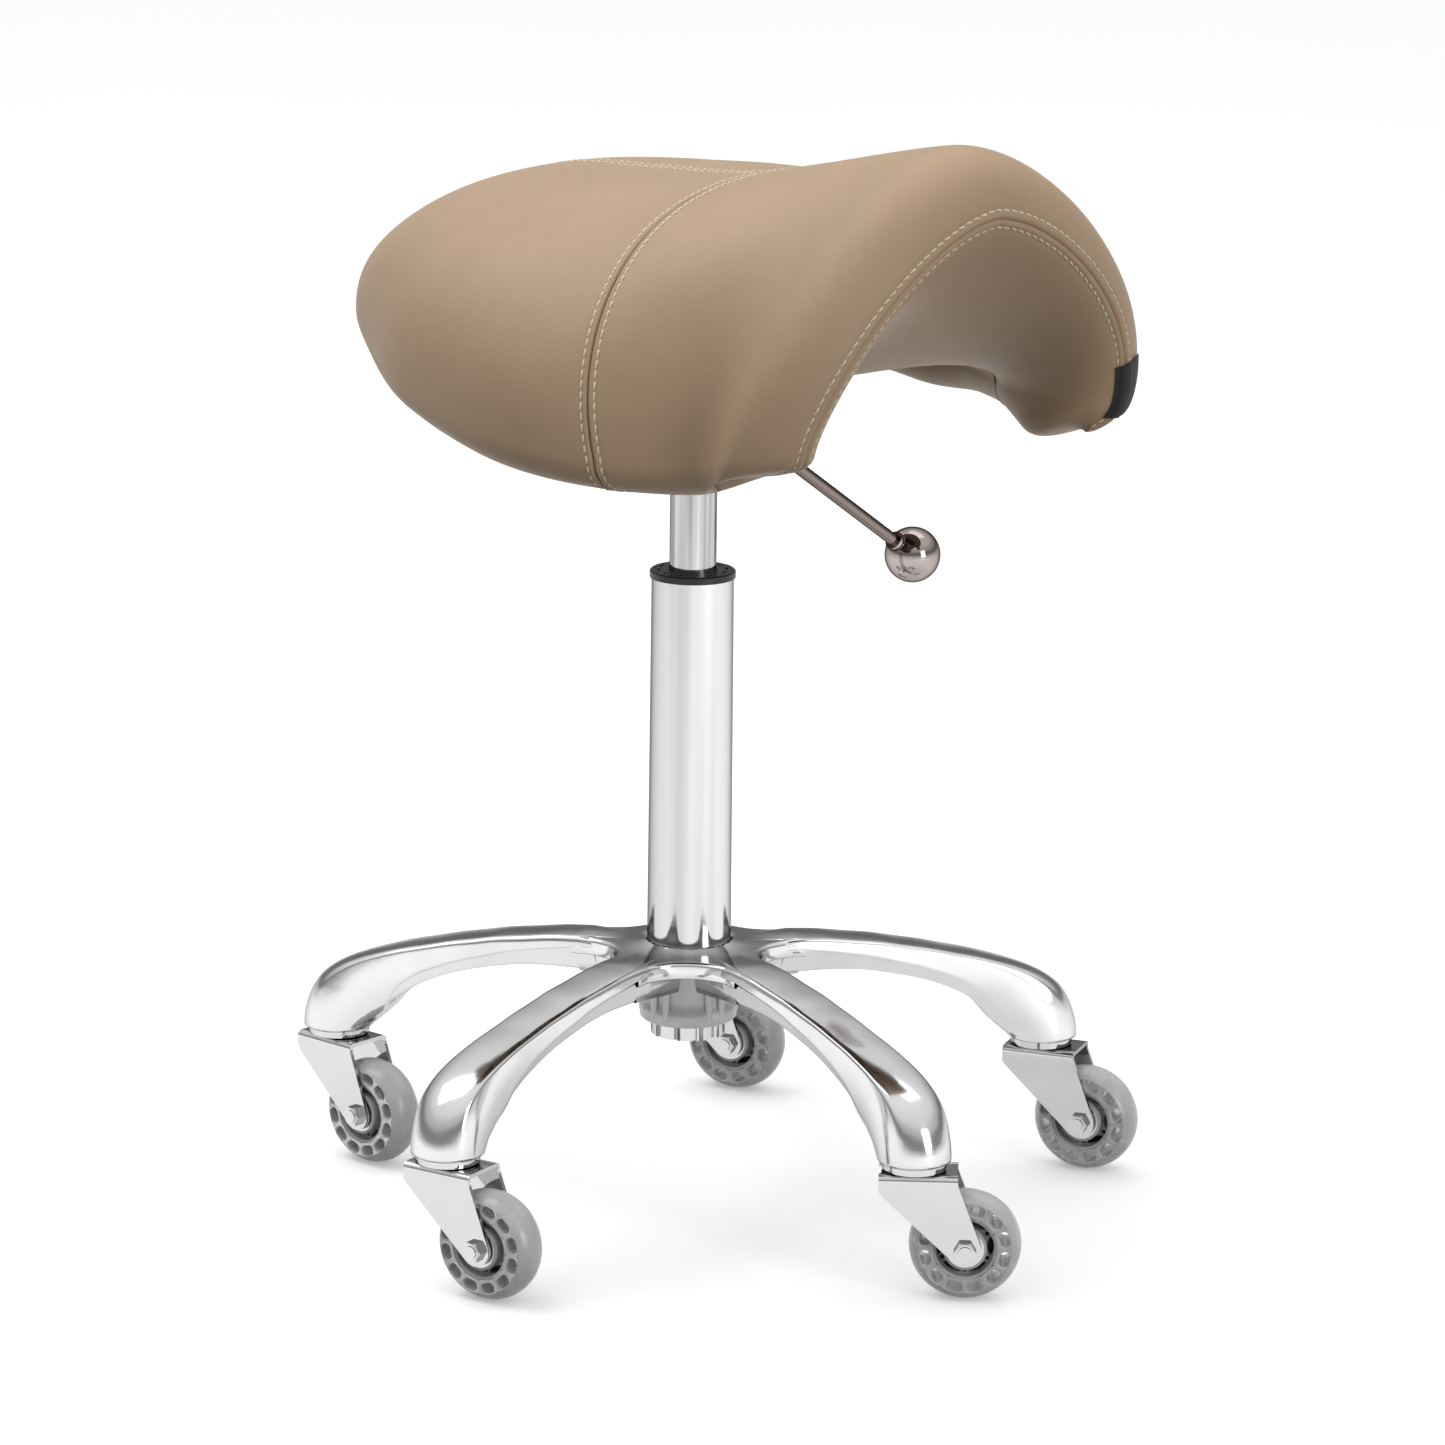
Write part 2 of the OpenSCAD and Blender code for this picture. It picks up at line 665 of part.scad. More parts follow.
// Dust lining: a strip up the inside of each flap, clear of the plate and its bolts
module seat_lining() {
  ls = [for (t = [1:9]) pan_ls[t]];
  color(dark) on_seat() union() {
    pan_sweep(ls, -2, -0.7, 3, NA - 2);
    pan_sweep(ls, -2, -0.7, -NA + 2, -3);
  }
}

// Sewn cover: each panel is a patch of the saddle's surface, as thick as the leather.
// Across the saddle, k runs 0 to 1 from crown to widest point, 1 to 2 under the flap
// and 2 to 3 up the inside; a negative k is the other side.
function skin_point(l, k, d) =
  let (c = sec(l), s = k < 0 ? -1 : 1, q = abs(k), zt = c[0] - d, w = max(c[1] - d, 0.4), zb = c[2],
    hr = max(c[3] - d, 0.6), t = max(c[4] - 2 * d, 0.5), zi = min(c[5] + d, zt - 1.2), wi = w - t,
    a = q <= 1 ? 90 * q : q <= 2 ? 180 * (q - 1) : 90 * (3 - q),
    y = q <= 1 ? w * pow(sin(a), 2 / c[6]) : q <= 2 ? w - t / 2 * (1 - cos(a))
      : wi * pow(sin(a), c[7]),
    z = q <= 1 ? zb + (zt - zb) * pow(cos(a), 2 / c[6]) : q <= 2 ? zb - hr * sin(a)
      : zb + (zi - zb) * pow(cos(a), c[7]))
  [shear(l, c[0], z, q), s * y, z];

// Position of the seam that crosses the saddle at the dip
function cross_seam(k) = seam_l + seam_rake * min(abs(k), 1);

module panel(ks, rows, flip, d0 = 0, d1 = skin) {
  nr = len(rows[0][0]);
  nk = len(ks);
  m = nr * nk;
  pts = [for (side = [0, 1]) for (i = [0:nr - 1]) for (j = [0:nk - 1])
    skin_point(rows[side][j][i], ks[j], side == 0 ? d0 : d1)];
  quads = concat(
    [for (i = [0:nr - 2]) for (j = [0:nk - 2]) let (a = i * nk + j) [a, a + 1, a + nk + 1, a + nk]],
    [for (i = [0:nr - 2]) for (j = [0:nk - 2]) let (a = m + i * nk + j)
      [a + nk, a + nk + 1, a + 1, a]],
    [for (i = [0:nr - 2]) for (j = [0, nk - 1]) let (a = i * nk + j, b = a + nk)
      j == 0 ? [a, b, b + m, a + m] : [b, a, a + m, b + m]],
    [for (i = [0, nr - 1]) for (j = [0:nk - 2]) let (a = i * nk + j, b = a + 1)
      i == 0 ? [b, a, a + m, b + m] : [a, b, b + m, a + m]]);
  tris = [for (q = quads) each [[q[0], q[1], q[2]], [q[0], q[2], q[3]]]];
  polyhedron(points = pts, faces = [for (t = tris) flip ? [t[2], t[1], t[0]] : t], convexity = 8);
}

rear_steps = 11;
front_steps = 11;
function rear_rows(ks) = [for (d = [0, skin]) [for (k = ks)
  let (a = -seat_rear + 0.2 + 2 * d, b = cross_seam(k) - seam_gap)
  [for (i = [0:rear_steps]) a + (b - a) * (1 - cos(90 * i / rear_steps))]]];
function front_rows(ks, a0) = [for (d = [0, skin]) [for (k = ks)
  let (a = a0 ? a0 : cross_seam(k) + seam_gap, b = seat_front - d - 0.1)
  [for (i = [0:front_steps]) a + (b - a) * sin(90 * i / front_steps)]]];

under_ks = [for (i = [1:4]) 1 + i / 4];

module rear_panel(s) {
  ks = [for (k = concat([seam_gap / 100], [for (i = [1:9]) i / 9], under_ks, [2.08, 2.16])) s * k];
  panel(ks, rear_rows(ks), s < 0);
}

module cover_rear_left() {
  color(tan) on_seat() rear_panel(1);
}

module cover_rear_right() {
  color(tan) on_seat() rear_panel(-1);
}

module cover_front() {
  half = concat([for (i = [1:9]) i / 9], under_ks);
  ks = concat([for (i = [len(half) - 1:-1:0]) -half[i]], [0], half);
  color(tan) on_seat() panel(ks, front_rows(ks, 0), false);
}

module cover_nose() {
  side = [for (i = [0:8]) 2.06 + 0.94 * i / 8];
  ks = concat(side, [for (i = [7:-1:0]) -side[i]]);
  color(tan) on_seat() panel(ks, front_rows(ks, nose_rear), false);
}

// Blank tag sewn into the front seam low on the far flap
module label_tag() {
  ks = [for (i = [0:4]) tag_k + tag_dk * i / 4];
  rows = [for (d = [0, 1]) [for (k = ks) [for (i = [0:4]) seat_front - 1 - tag_w * (1 - i / 4)]]];
  color(dark) on_seat() panel(ks, rows, false, -1.9, -0.9);
}

star_base();
column_tube();
column_cap();
guide_bush();
ring_nut();
thrust_bearing();
piston_rod();
piston();
rod_clip();
gas_cylinder();
cylinder_gland();
release_pin();
mount_plate();
plate_bolts();
pivot_pin();
lever_rod();
lever_ball();
seat_pan();
seat_foam();
seat_lining();
cover_rear_left();
cover_rear_right();
cover_front();
cover_nose();
label_tag();
stem(0);  // stem_1
stem(1);  // stem_2
stem(2);  // stem_3
stem(3);  // stem_4
stem(4);  // stem_5
raceway(0);  // raceway_1
raceway(1);  // raceway_2
raceway(2);  // raceway_3
raceway(3);  // raceway_4
raceway(4);  // raceway_5
fork(0);  // fork_1
fork(1);  // fork_2
fork(2);  // fork_3
fork(3);  // fork_4
fork(4);  // fork_5
axle(0);  // axle_1
axle(1);  // axle_2
axle(2);  // axle_3
axle(3);  // axle_4
axle(4);  // axle_5
core(0);  // core_1
core(1);  // core_2
core(2);  // core_3
core(3);  // core_4
core(4);  // core_5
tyre(0);  // tyre_1
tyre(1);  // tyre_2
tyre(2);  // tyre_3
tyre(3);  // tyre_4
tyre(4);  // tyre_5
bearing(0);  // bearing_1
bearing(1);  // bearing_2
bearing(2);  // bearing_3
bearing(3);  // bearing_4
bearing(4);  // bearing_5
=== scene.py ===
import json
import math

import bmesh
import bpy
import numpy as np
from mathutils import Matrix, Vector


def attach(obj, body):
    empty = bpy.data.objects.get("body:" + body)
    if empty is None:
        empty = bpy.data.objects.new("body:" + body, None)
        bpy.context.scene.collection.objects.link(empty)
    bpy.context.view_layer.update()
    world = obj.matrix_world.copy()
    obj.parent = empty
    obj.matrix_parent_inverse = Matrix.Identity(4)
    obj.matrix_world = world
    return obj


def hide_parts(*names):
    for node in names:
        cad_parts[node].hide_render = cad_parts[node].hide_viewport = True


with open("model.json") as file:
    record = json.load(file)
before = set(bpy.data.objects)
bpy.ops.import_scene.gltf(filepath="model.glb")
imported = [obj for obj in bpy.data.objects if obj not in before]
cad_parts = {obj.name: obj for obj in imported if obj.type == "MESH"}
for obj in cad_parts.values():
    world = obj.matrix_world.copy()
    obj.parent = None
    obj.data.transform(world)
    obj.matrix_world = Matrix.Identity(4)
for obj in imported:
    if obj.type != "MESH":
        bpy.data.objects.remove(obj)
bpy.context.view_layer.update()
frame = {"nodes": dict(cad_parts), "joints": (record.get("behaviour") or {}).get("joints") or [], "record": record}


NODES = frame["nodes"]
ARMS = 5
MM = 0.001

# ---------------------------------------------------------------- camera, light, floor

CAMERA_AT = (0.05973, -3.35768, 1.11064)
CAMERA_HEADING = 0.7
CAMERA_PITCH = 13.676
CAMERA_ROLL = 0.689
CAMERA_LENS = 144.25


def make_camera():
    """The photograph's viewpoint: angles in degrees, lens in millimetres."""
    data = bpy.data.cameras.new("camera")
    data.lens = CAMERA_LENS
    data.sensor_width = 36
    data.clip_end = 50
    cam = bpy.data.objects.new("camera", data)
    bpy.context.scene.collection.objects.link(cam)
    look = Matrix.Rotation(math.radians(CAMERA_HEADING), 4, "Z")
    look = look @ Matrix.Rotation(math.radians(90 - CAMERA_PITCH), 4, "X")
    look = look @ Matrix.Rotation(math.radians(CAMERA_ROLL), 4, "Z")
    cam.matrix_world = Matrix.Translation(CAMERA_AT) @ look
    bpy.context.scene.camera = cam


def area_light(name, at, target, size, watts):
    data = bpy.data.lights.new(name, "AREA")
    data.shape = "RECTANGLE"
    data.size, data.size_y = size
    data.energy = watts
    lamp = bpy.data.objects.new(name, data)
    bpy.context.scene.collection.objects.link(lamp)
    aim = Vector(target) - Vector(at)
    lamp.matrix_world = Matrix.Translation(at) @ aim.to_track_quat("-Z", "Y").to_matrix().to_4x4()


def make_world():
    """White studio: bright above, with a dark band just over the horizon that gives bright metal contrast."""
    bpy.context.scene.view_settings.view_transform = "Standard"
    world = bpy.data.worlds.new("studio")
    bpy.context.scene.world = world
    world.use_nodes = True
    nodes, links = world.node_tree.nodes, world.node_tree.links
    nodes.clear()
    out = nodes.new("ShaderNodeOutputWorld")
    sky = nodes.new("ShaderNodeBackground")
    sky.inputs["Strength"].default_value = 1.0
    ramp = nodes.new("ShaderNodeValToRGB")
    ramp.color_ramp.interpolation = "EASE"
    stops = [(0.0, 0.15), (0.50, 0.15), (0.502, 0.95), (0.51, 0.90), (0.55, 0.32), (0.61, 0.26), (0.70, 0.60),
             (0.83, 0.90), (1.0, 1.0)]
    while len(ramp.color_ramp.elements) < len(stops):
        ramp.color_ramp.elements.new(0.5)
    for stop, (at, grey) in zip(ramp.color_ramp.elements, stops):
        stop.position = at
        stop.color = (grey, grey, grey, 1)
    coords = nodes.new("ShaderNodeTexCoord")
    split = nodes.new("ShaderNodeSeparateXYZ")
    span = nodes.new("ShaderNodeMapRange")
    span.inputs["From Min"].default_value = -1
    span.inputs["From Max"].default_value = 1
    links.new(coords.outputs["Generated"], split.inputs["Vector"])
    links.new(split.outputs["Z"], span.inputs["Value"])
    links.new(span.outputs["Result"], ramp.inputs["Fac"])
    links.new(ramp.outputs["Color"], sky.inputs["Color"])
    links.new(sky.outputs["Background"], out.inputs["Surface"])


def make_stage():
    """A pale floor, large enough to fill every view. Its light stays off matt surfaces."""
    mesh = bpy.data.meshes.new("floor")
    half = 60.0
    places = [(-half, -half, 0), (half, -half, 0), (half, half, 0), (-half, half, 0)]
    mesh.from_pydata(places, [], [(0, 1, 2, 3)])
    floor = bpy.data.objects.new("floor", mesh)
    bpy.context.scene.collection.objects.link(floor)
    floor.data.materials.append(floor_material())
    floor.visible_diffuse = False
    area_light("key", (-1.2, 0.3, 3.0), (0, 0, 0.4), (2.0, 2.0), 36)
    area_light("top", (0.6, 1.0, 3.2), (0, 0, 0.3), (2.4, 1.6), 10)
    area_light("fill", (2.4, -2.2, 1.0), (0.1, -0.1, 0.5), (1.0, 1.4), 26)


# ---------------------------------------------------------------- materials


class Shader:
    """A material being built: one Principled shader and short ways to add nodes."""

    def __init__(self, name, **sockets):
        self.material = bpy.data.materials.new(name)
        self.material.use_nodes = True
        self.tree = self.material.node_tree
        self.bsdf = self.tree.nodes["Principled BSDF"]
        coords = self.node("ShaderNodeTexCoord")
        self.place = coords.outputs["Object"]
        for socket, value in sockets.items():
            self.bsdf.inputs[socket.replace("_", " ")].default_value = value

    def node(self, kind, **inputs):
        made = self.tree.nodes.new(kind)
        for name, value in inputs.items():
            socket = made.inputs[name.replace("_", " ")]
            if isinstance(value, bpy.types.NodeSocket):
                self.tree.links.new(value, socket)
            else:
                socket.default_value = value
        return made

    def noise(self, size, detail=3.0, rough=0.55, place=None):
        """Noise whose features are about size metres across."""
        place = place or self.place
        made = self.node("ShaderNodeTexNoise", Vector=place, Scale=1 / size, Detail=detail)
        made.inputs["Roughness"].default_value = rough
        return made.outputs["Fac"]

    def cells(self, size):
        made = self.node("ShaderNodeTexVoronoi", Vector=self.place, Scale=1 / size)
        made.feature = "SMOOTH_F1"
        return made.outputs["Distance"]

    def ramp(self, fac, stops):
        made = self.node("ShaderNodeValToRGB", Fac=fac)
        elements = made.color_ramp.elements
        while len(elements) < len(stops):
            elements.new(0.5)
        for element, (at, colour) in zip(elements, stops):
            element.position = at
            element.color = (*colour, 1)
        return made.outputs["Color"]

    def span(self, value, low, high):
        made = self.node("ShaderNodeMapRange", Value=value)
        made.inputs["To Min"].default_value = low
        made.inputs["To Max"].default_value = high
        return made.outputs["Result"]

    def math(self, kind, a, b):
        made = self.tree.nodes.new("ShaderNodeMath")
        made.operation = kind
        for socket, value in zip(made.inputs, (a, b)):
            if isinstance(value, bpy.types.NodeSocket):
                self.tree.links.new(value, socket)
            else:
                socket.default_value = value
        return made.outputs["Value"]

    def to(self, socket, value):
        self.tree.links.new(value, self.bsdf.inputs[socket])

    def bump(self, height, depth, strength=1.0, under=None):
        made = self.node("ShaderNodeBump", Height=height, Distance=depth, Strength=strength)
        if under:
            self.tree.links.new(under, made.inputs["Normal"])
        self.tree.links.new(made.outputs["Normal"], self.bsdf.inputs["Normal"])
        return made.outputs["Normal"]


def floor_material():
    """White floor that gives off a little light, so that it shows as a white ground with faint shadows."""
    s = Shader("floor_white", Roughness=0.6, Specular_IOR_Level=0.1)
    s.bsdf.inputs["Emission Color"].default_value = (1, 1, 1, 1)
    s.bsdf.inputs["Emission Strength"].default_value = 0.25
    s.to("Base Color", s.ramp(s.noise(0.6), [(0.0, (0.88, 0.88, 0.88)), (1.0, (0.90, 0.90, 0.90))]))
    return s.material


def leather():
    """Smooth upholstery leather: fine pebbled grain, faint mottling, soft sheen."""
    s = Shader("taupe_leather", Specular_IOR_Level=0.27, Sheen_Weight=0.03, Sheen_Roughness=0.4)
    broad, fine = s.math("MULTIPLY", s.noise(0.09, 4), 0.75), s.math("MULTIPLY", s.noise(0.006, 4), 0.25)
    tone = s.math("ADD", broad, fine)
    s.to("Base Color", s.ramp(tone, [(0.25, (0.385, 0.268, 0.171)), (0.75, (0.438, 0.306, 0.197))]))
    s.to("Roughness", s.span(s.noise(0.012, 5), 0.44, 0.58))
    grain = s.bump(s.cells(0.0011), 0.00025, 0.35)
    s.bump(s.noise(0.0004, 6), 0.0001, 0.35, grain)
    return s.material


def thread():
    s = Shader("thread", Specular_IOR_Level=0.3)
    s.to("Base Color", s.ramp(s.noise(0.002), [(0.3, (0.64, 0.55, 0.39)), (0.7, (0.78, 0.69, 0.51))]))
    s.to("Roughness", s.span(s.noise(0.0008), 0.55, 0.75))
    s.bump(s.noise(0.00025, 2), 0.0002, 0.6)
    return s.material


def plated(name, colour, rough=(0.03, 0.07), smear=0.03, edge=0.35):
    """Bright plating: an even mirror with slight unevenness in its gloss."""
    s = Shader(name, Metallic=1.0, Specular_Tint=(edge, edge, edge, 1))
    dim = tuple(c * 0.96 for c in colour)
    s.to("Base Color", s.ramp(s.noise(smear), [(0.3, dim), (0.7, colour)]))
    s.to("Roughness", s.span(s.noise(smear * 0.4, 5), *rough))
    s.bump(s.noise(smear, 2), 0.00002, 0.5)
    return s.material


def streak_painted_chrome(name, range_grey, streak):
    """Plated tube with painted reflection streaks: soft tone streaks along it in the base colour, standing in for
    streaky reflections.
    """
    s = Shader(name, Metallic=1.0, Specular_Tint=(0.25, 0.25, 0.25, 1))
    stretch = s.node("ShaderNodeMapping", Vector=s.place)
    stretch.inputs["Scale"].default_value = (1.0, 1.0, 0.012)
    tone = s.noise(streak, 2, 0.5, stretch.outputs["Vector"])
    low, high = range_grey
    # Painted reflection: the streaky tone in the base colour stands in for the streaky reflections along a real
    # tube
    s.to("Base Color", s.ramp(tone, [(0.36, (low, low, low * 1.01)), (0.60, (high, high, high * 1.01))]))
    s.to("Roughness", s.span(s.noise(0.012, 5), 0.05, 0.13))
    s.bump(tone, 0.0001, 0.3)
    return s.material


def polished_aluminium():
    """Hand-polished casting: bright, with soft polishing swirls and faint pits."""
    s = Shader("polished_aluminium", Metallic=1.0, Specular_Tint=(0.5, 0.5, 0.5, 1))
    s.to("Base Color", s.ramp(s.noise(0.05), [(0.3, (0.66, 0.66, 0.665)), (0.7, (0.75, 0.75, 0.755))]))
    s.to("Roughness", s.span(s.noise(0.01, 6), 0.08, 0.20))
    swirl = s.bump(s.noise(0.022, 2), 0.00035, 0.6)
    s.bump(s.noise(0.0015, 4), 0.00003, 0.5, swirl)
    return s.material


def cast_aluminium():
    s = Shader("cast_aluminium", Metallic=1.0)
    s.to("Base Color", s.ramp(s.noise(0.02), [(0.3, (0.36, 0.36, 0.36)), (0.7, (0.43, 0.43, 0.43))]))
    s.to("Roughness", s.span(s.noise(0.004, 5), 0.38, 0.55))
    s.bump(s.noise(0.0012, 5), 0.0002, 0.6)
    return s.material


def moulded(name, colour, rough=(0.38, 0.5)):
    """Moulded plastic with a fine spark-eroded texture."""
    s = Shader(name, Specular_IOR_Level=0.45)
    dim = tuple(c * 0.85 for c in colour)
    s.to("Base Color", s.ramp(s.noise(0.008), [(0.3, dim), (0.7, colour)]))
    s.to("Roughness", s.span(s.noise(0.003, 4), *rough))
    s.bump(s.noise(0.0008, 4), 0.00008, 0.5)
    return s.material


def tyre_rubber():
    """Translucent grey polyurethane: glossy, faintly cloudy inside."""
    s = Shader("clear_grey_tyre", Specular_IOR_Level=0.5, IOR=1.49, Transmission_Weight=0.3)
    s.to("Base Color", s.ramp(s.noise(0.01, 4), [(0.3, (0.60, 0.60, 0.61)), (0.7, (0.70, 0.70, 0.71))]))
    s.to("Roughness", s.span(s.noise(0.006, 5), 0.16, 0.34))
    s.bump(s.noise(0.0015, 4), 0.00006, 0.4)
    return s.material


def plywood():
    s = Shader("plywood", Specular_IOR_Level=0.35)
    stretch = s.node("ShaderNodeMapping", Vector=s.place)
    stretch.inputs["Scale"].default_value = (0.12, 1.0, 1.0)
    grain = s.noise(0.004, 6, 0.6, stretch.outputs["Vector"])
    s.to("Base Color", s.ramp(grain, [(0.3, (0.42, 0.27, 0.15)), (0.7, (0.60, 0.43, 0.27))]))
    s.to("Roughness", s.span(grain, 0.5, 0.7))
    s.bump(grain, 0.0003, 0.4)
    return s.material


def woven(name, colour, size=0.0012):
    """Fine black cloth, such as dust lining or a woven tag."""
    s = Shader(name, Sheen_Weight=0.2, Sheen_Roughness=0.5, Specular_IOR_Level=0.2)
    dim = tuple(c * 0.6 for c in colour)
    weave = s.node("ShaderNodeTexWave", Vector=s.place, Scale=1 / size, Distortion=0.6)
    s.to("Base Color", s.ramp(weave.outputs["Fac"], [(0.2, dim), (0.8, colour)]))
    s.to("Roughness", s.span(s.noise(0.002), 0.7, 0.9))
    s.bump(weave.outputs["Fac"], 0.0002, 0.5)
    return s.material


def make_materials():
    return {
        "polished_aluminium": polished_aluminium(),
        "chrome": plated("chrome", (0.62, 0.625, 0.63)),
        "painted_streak_chrome": streak_painted_chrome("painted_streak_chrome", (0.30, 0.60), 0.0045),
        "tube_chrome": streak_painted_chrome("tube_chrome", (0.52, 0.68), 0.016),
        "chrome_dark": plated("chrome_dark", (0.42, 0.365, 0.35), edge=0.15),
        "rod_nickel": plated("rod_nickel", (0.24, 0.20, 0.18), (0.10, 0.2), edge=0.1),
        "zinc_steel": plated("zinc_steel", (0.66, 0.66, 0.67), (0.18, 0.32), 0.01),
        "cast_aluminium": cast_aluminium(),
        "black_plastic": moulded("black_plastic", (0.018, 0.018, 0.020)),
        "black_steel": moulded("black_steel", (0.025, 0.025, 0.027), (0.45, 0.6)),
        "plywood": plywood(),
        "thread": thread(),
        "foam": moulded("foam", (0.75, 0.68, 0.45), (0.8, 0.9)),
        "lining": woven("lining", (0.03, 0.03, 0.03), 0.003),
        "tag": woven("tag", (0.025, 0.025, 0.026)),
        "taupe_leather": leather(),
        "grey_plastic": moulded("grey_plastic", (0.50, 0.50, 0.51)),
        "clear_grey_tyre": tyre_rubber(),
    }


FINISHES = {"gas_cylinder": "painted_streak_chrome", "column_tube": "tube_chrome", "lever_rod": "rod_nickel"}


def dress_cad_nodes(materials):
    """Every CAD node gets the material of its slot in the record."""
    for part in frame["record"]["subparts"]:
        mesh = NODES[part["node"]].data
        mesh.materials.clear()
        finish = FINISHES.get(part["node"], part["material_slot"])
        mesh.materials.append(materials[finish])


# ---------------------------------------------------------------- seat form
# The saddle's surface, in millimetres along its own length (l), across it (v) and up (z).
# Across the saddle, k runs 0 to 1 from the crown to the widest point of a flap, 1 to 2 under
# the flap and 2 to 3 up the inside of the arch; a negative k is the other side.

STATIONS = np.array([-190.0, -120, -40, 45, 110, 180, 245])
CROWN = np.array([619.8, 626.3, 623.6, 628.8, 641.5, 657.5, 668.8])
HALF_WIDTH = np.array([155.0, 168, 193.5, 205.8, 192.5, 152.4, 167.4])
FLAP = np.array([535.7, 523.9, 513, 499.3, 493.9, 491.7, 505.1])
REAR, FRONT, WIDEST = 226.0, 245.8, -6.3
REAR_WIDE, REAR_TALL = 2.34, 2.13
RIM, ARCH = 542.5, 521.0
FRONT_DROP, FRONT_INSET, FRONT_ROUND = 43.6, 41.7, 40.4
LEAN, LEAN_POWER, SWING, SWING_K = 0.0014, 2.77, 45.0, 1.08
FAR_LIFT, FAR_SWING = 7.5, 8.0
FLAP_THICK, FLAP_ROUND = 56.0, 20.0
CROSS_SEAM, CROSS_RAKE = 67.4, 54.1
LIP = 128.0
BOTTOM_K, HEM_K = 1.5, 2.25

# Seams, stitches, swell and tag, in millimetres. Each seam shape is (height, reach).
ROLL, PLUMP, PINCH = (1.4, 1.9), (0.45, 1.6), (0.55, 1.1)
STITCH_OFF_CROSS, STITCH_OFF_FRONT = 4.0, 5.2
THREAD_R, PITCH, STITCH = 0.6, 6.0, 4.7
GRID_PITCH = 3.2
LEATHER = 1.2
SWELL, SWELL_GRID, PRESSURE, LAST_FRAME = 1.8, (22, 30), 4, 20
TAG_K, TAG_WIDE, TAG_FOLD, TAG_OVER, TAG_PROUD = (0.83, 1.18), 17.0, 2.6, 7.0, 1.1


def station_value(values, l):
    """Smooth curve through the values at the stations."""
    slopes = np.gradient(values, STATIONS)
    slopes[1:-1] = (values[2:] - values[:-2]) / (STATIONS[2:] - STATIONS[:-2])
    x = np.clip(l, STATIONS[0], STATIONS[-1])
    i = np.clip(np.searchsorted(STATIONS, x, side="right") - 1, 0, len(STATIONS) - 2)
    h = STATIONS[i + 1] - STATIONS[i]
    t = (x - STATIONS[i]) / h
    return (
        (2 * t**3 - 3 * t**2 + 1) * values[i] + (t**3 - 2 * t**2 + t) * h * slopes[i]
        + (3 * t**2 - 2 * t**3) * values[i + 1] + (t**3 - t**2) * h * slopes[i + 1]
    )


def ease(x):
    t = np.clip(x, 0, 1)
    return t * t * (3 - 2 * t)


def saddle(l, k):
    """Points of the saddle's skin, as an array (..., 3) in millimetres."""
    l, k = np.broadcast_arrays(np.asarray(l, float), np.asarray(k, float))
    q = np.clip((WIDEST - l) / (WIDEST + REAR), 0, 1)
    wide = np.maximum(1 - q**REAR_WIDE, 0) ** (1 / REAR_WIDE)
    tall = np.maximum(1 - q**REAR_TALL, 0) ** (1 / REAR_TALL)
    f = np.clip((l - FRONT + FRONT_ROUND) / FRONT_ROUND, 0, 1)
    over = 1 - np.sqrt(np.maximum(1 - f * f, 0))
    width = np.maximum(station_value(HALF_WIDTH, l) * wide - FRONT_INSET * over, 0.05)
    top = RIM + (station_value(CROWN, l) - RIM) * tall - FRONT_DROP * over
    low = RIM - (RIM - station_value(FLAP, l)) * tall
    a, side = np.abs(k), np.sign(k)
    low = low + FAR_LIFT * (side > 0) * ease((l - 20) / 60) * (1 - 0.75 * ease((l - 150) / 70))
    thick = np.minimum(FLAP_THICK, 0.62 * width)
    round_h = FLAP_ROUND * tall * np.clip(thick / 40, 0, 1)
    thick = thick * (1 - 0.6 * f * f)
    arch = low + (ARCH - low) * ease((l + 165) / 70)
    n = np.where(l < WIDEST, 1.98 + 0.4 * (l + REAR) / (WIDEST + REAR),
                 2.38 - 0.78 * (l - WIDEST) / (FRONT - WIDEST))
    outer = np.radians(90 * np.clip(a, 0, 1))
    under = np.pi * np.clip(a - 1, 0, 1)
    inner = np.radians(90 * np.clip(3 - a, 0, 1))
    y_out = width * np.sin(outer) ** (2 / n)
    z_out = low + (top - low) * np.maximum(np.cos(outer), 0) ** (2 / n)
    y_under = width - thick / 2 * (1 - np.cos(under))
    z_under = low - round_h * np.sin(under)
    y_in = (width - thick) * np.sin(inner) ** 0.8
    z_in = low + (arch - low) * np.maximum(np.cos(inner), 0) ** 0.8
    y = np.where(a <= 1, y_out, np.where(a <= 2, y_under, y_in))
    z = np.where(a <= 1, z_out, np.where(a <= 2, z_under, z_in))
    lean = np.clip((l - 40) / (FRONT - 40), 0, 1) ** LEAN_POWER
    swing = np.where(side > 0, FAR_SWING, SWING) * ease((np.minimum(a, 3 - a) - SWING_K) / (1.5 - SWING_K))
    return np.stack([l - lean * (LEAN * (top - z) ** 2 + swing), side * y, z], -1)


def cross_seam(k):
    """Where the seam across the saddle runs."""
    return CROSS_SEAM + CROSS_RAKE * np.minimum(np.abs(k), 1)


NEAR_SEAM = np.array([0, 0.4, 0.9, 1.5, 2.2, 3.0, 4.0, 5.0, 6.2, 7.6, 9.5, 12.0])


def steps(length, pitch, from_seam=True, to_seam=False):
    """Places from 0 to 1 along a run of this length, closer together near a seam."""
    near = NEAR_SEAM / length
    first, last = (near if from_seam else near[:1]), (1 - near[::-1] if to_seam else 1 - near[:1])
    inside = np.linspace(first[-1], last[0], max(int(length * (last[0] - first[-1]) / pitch), 2) + 1)
    return np.concatenate([first[:-1], inside, last[1:]])


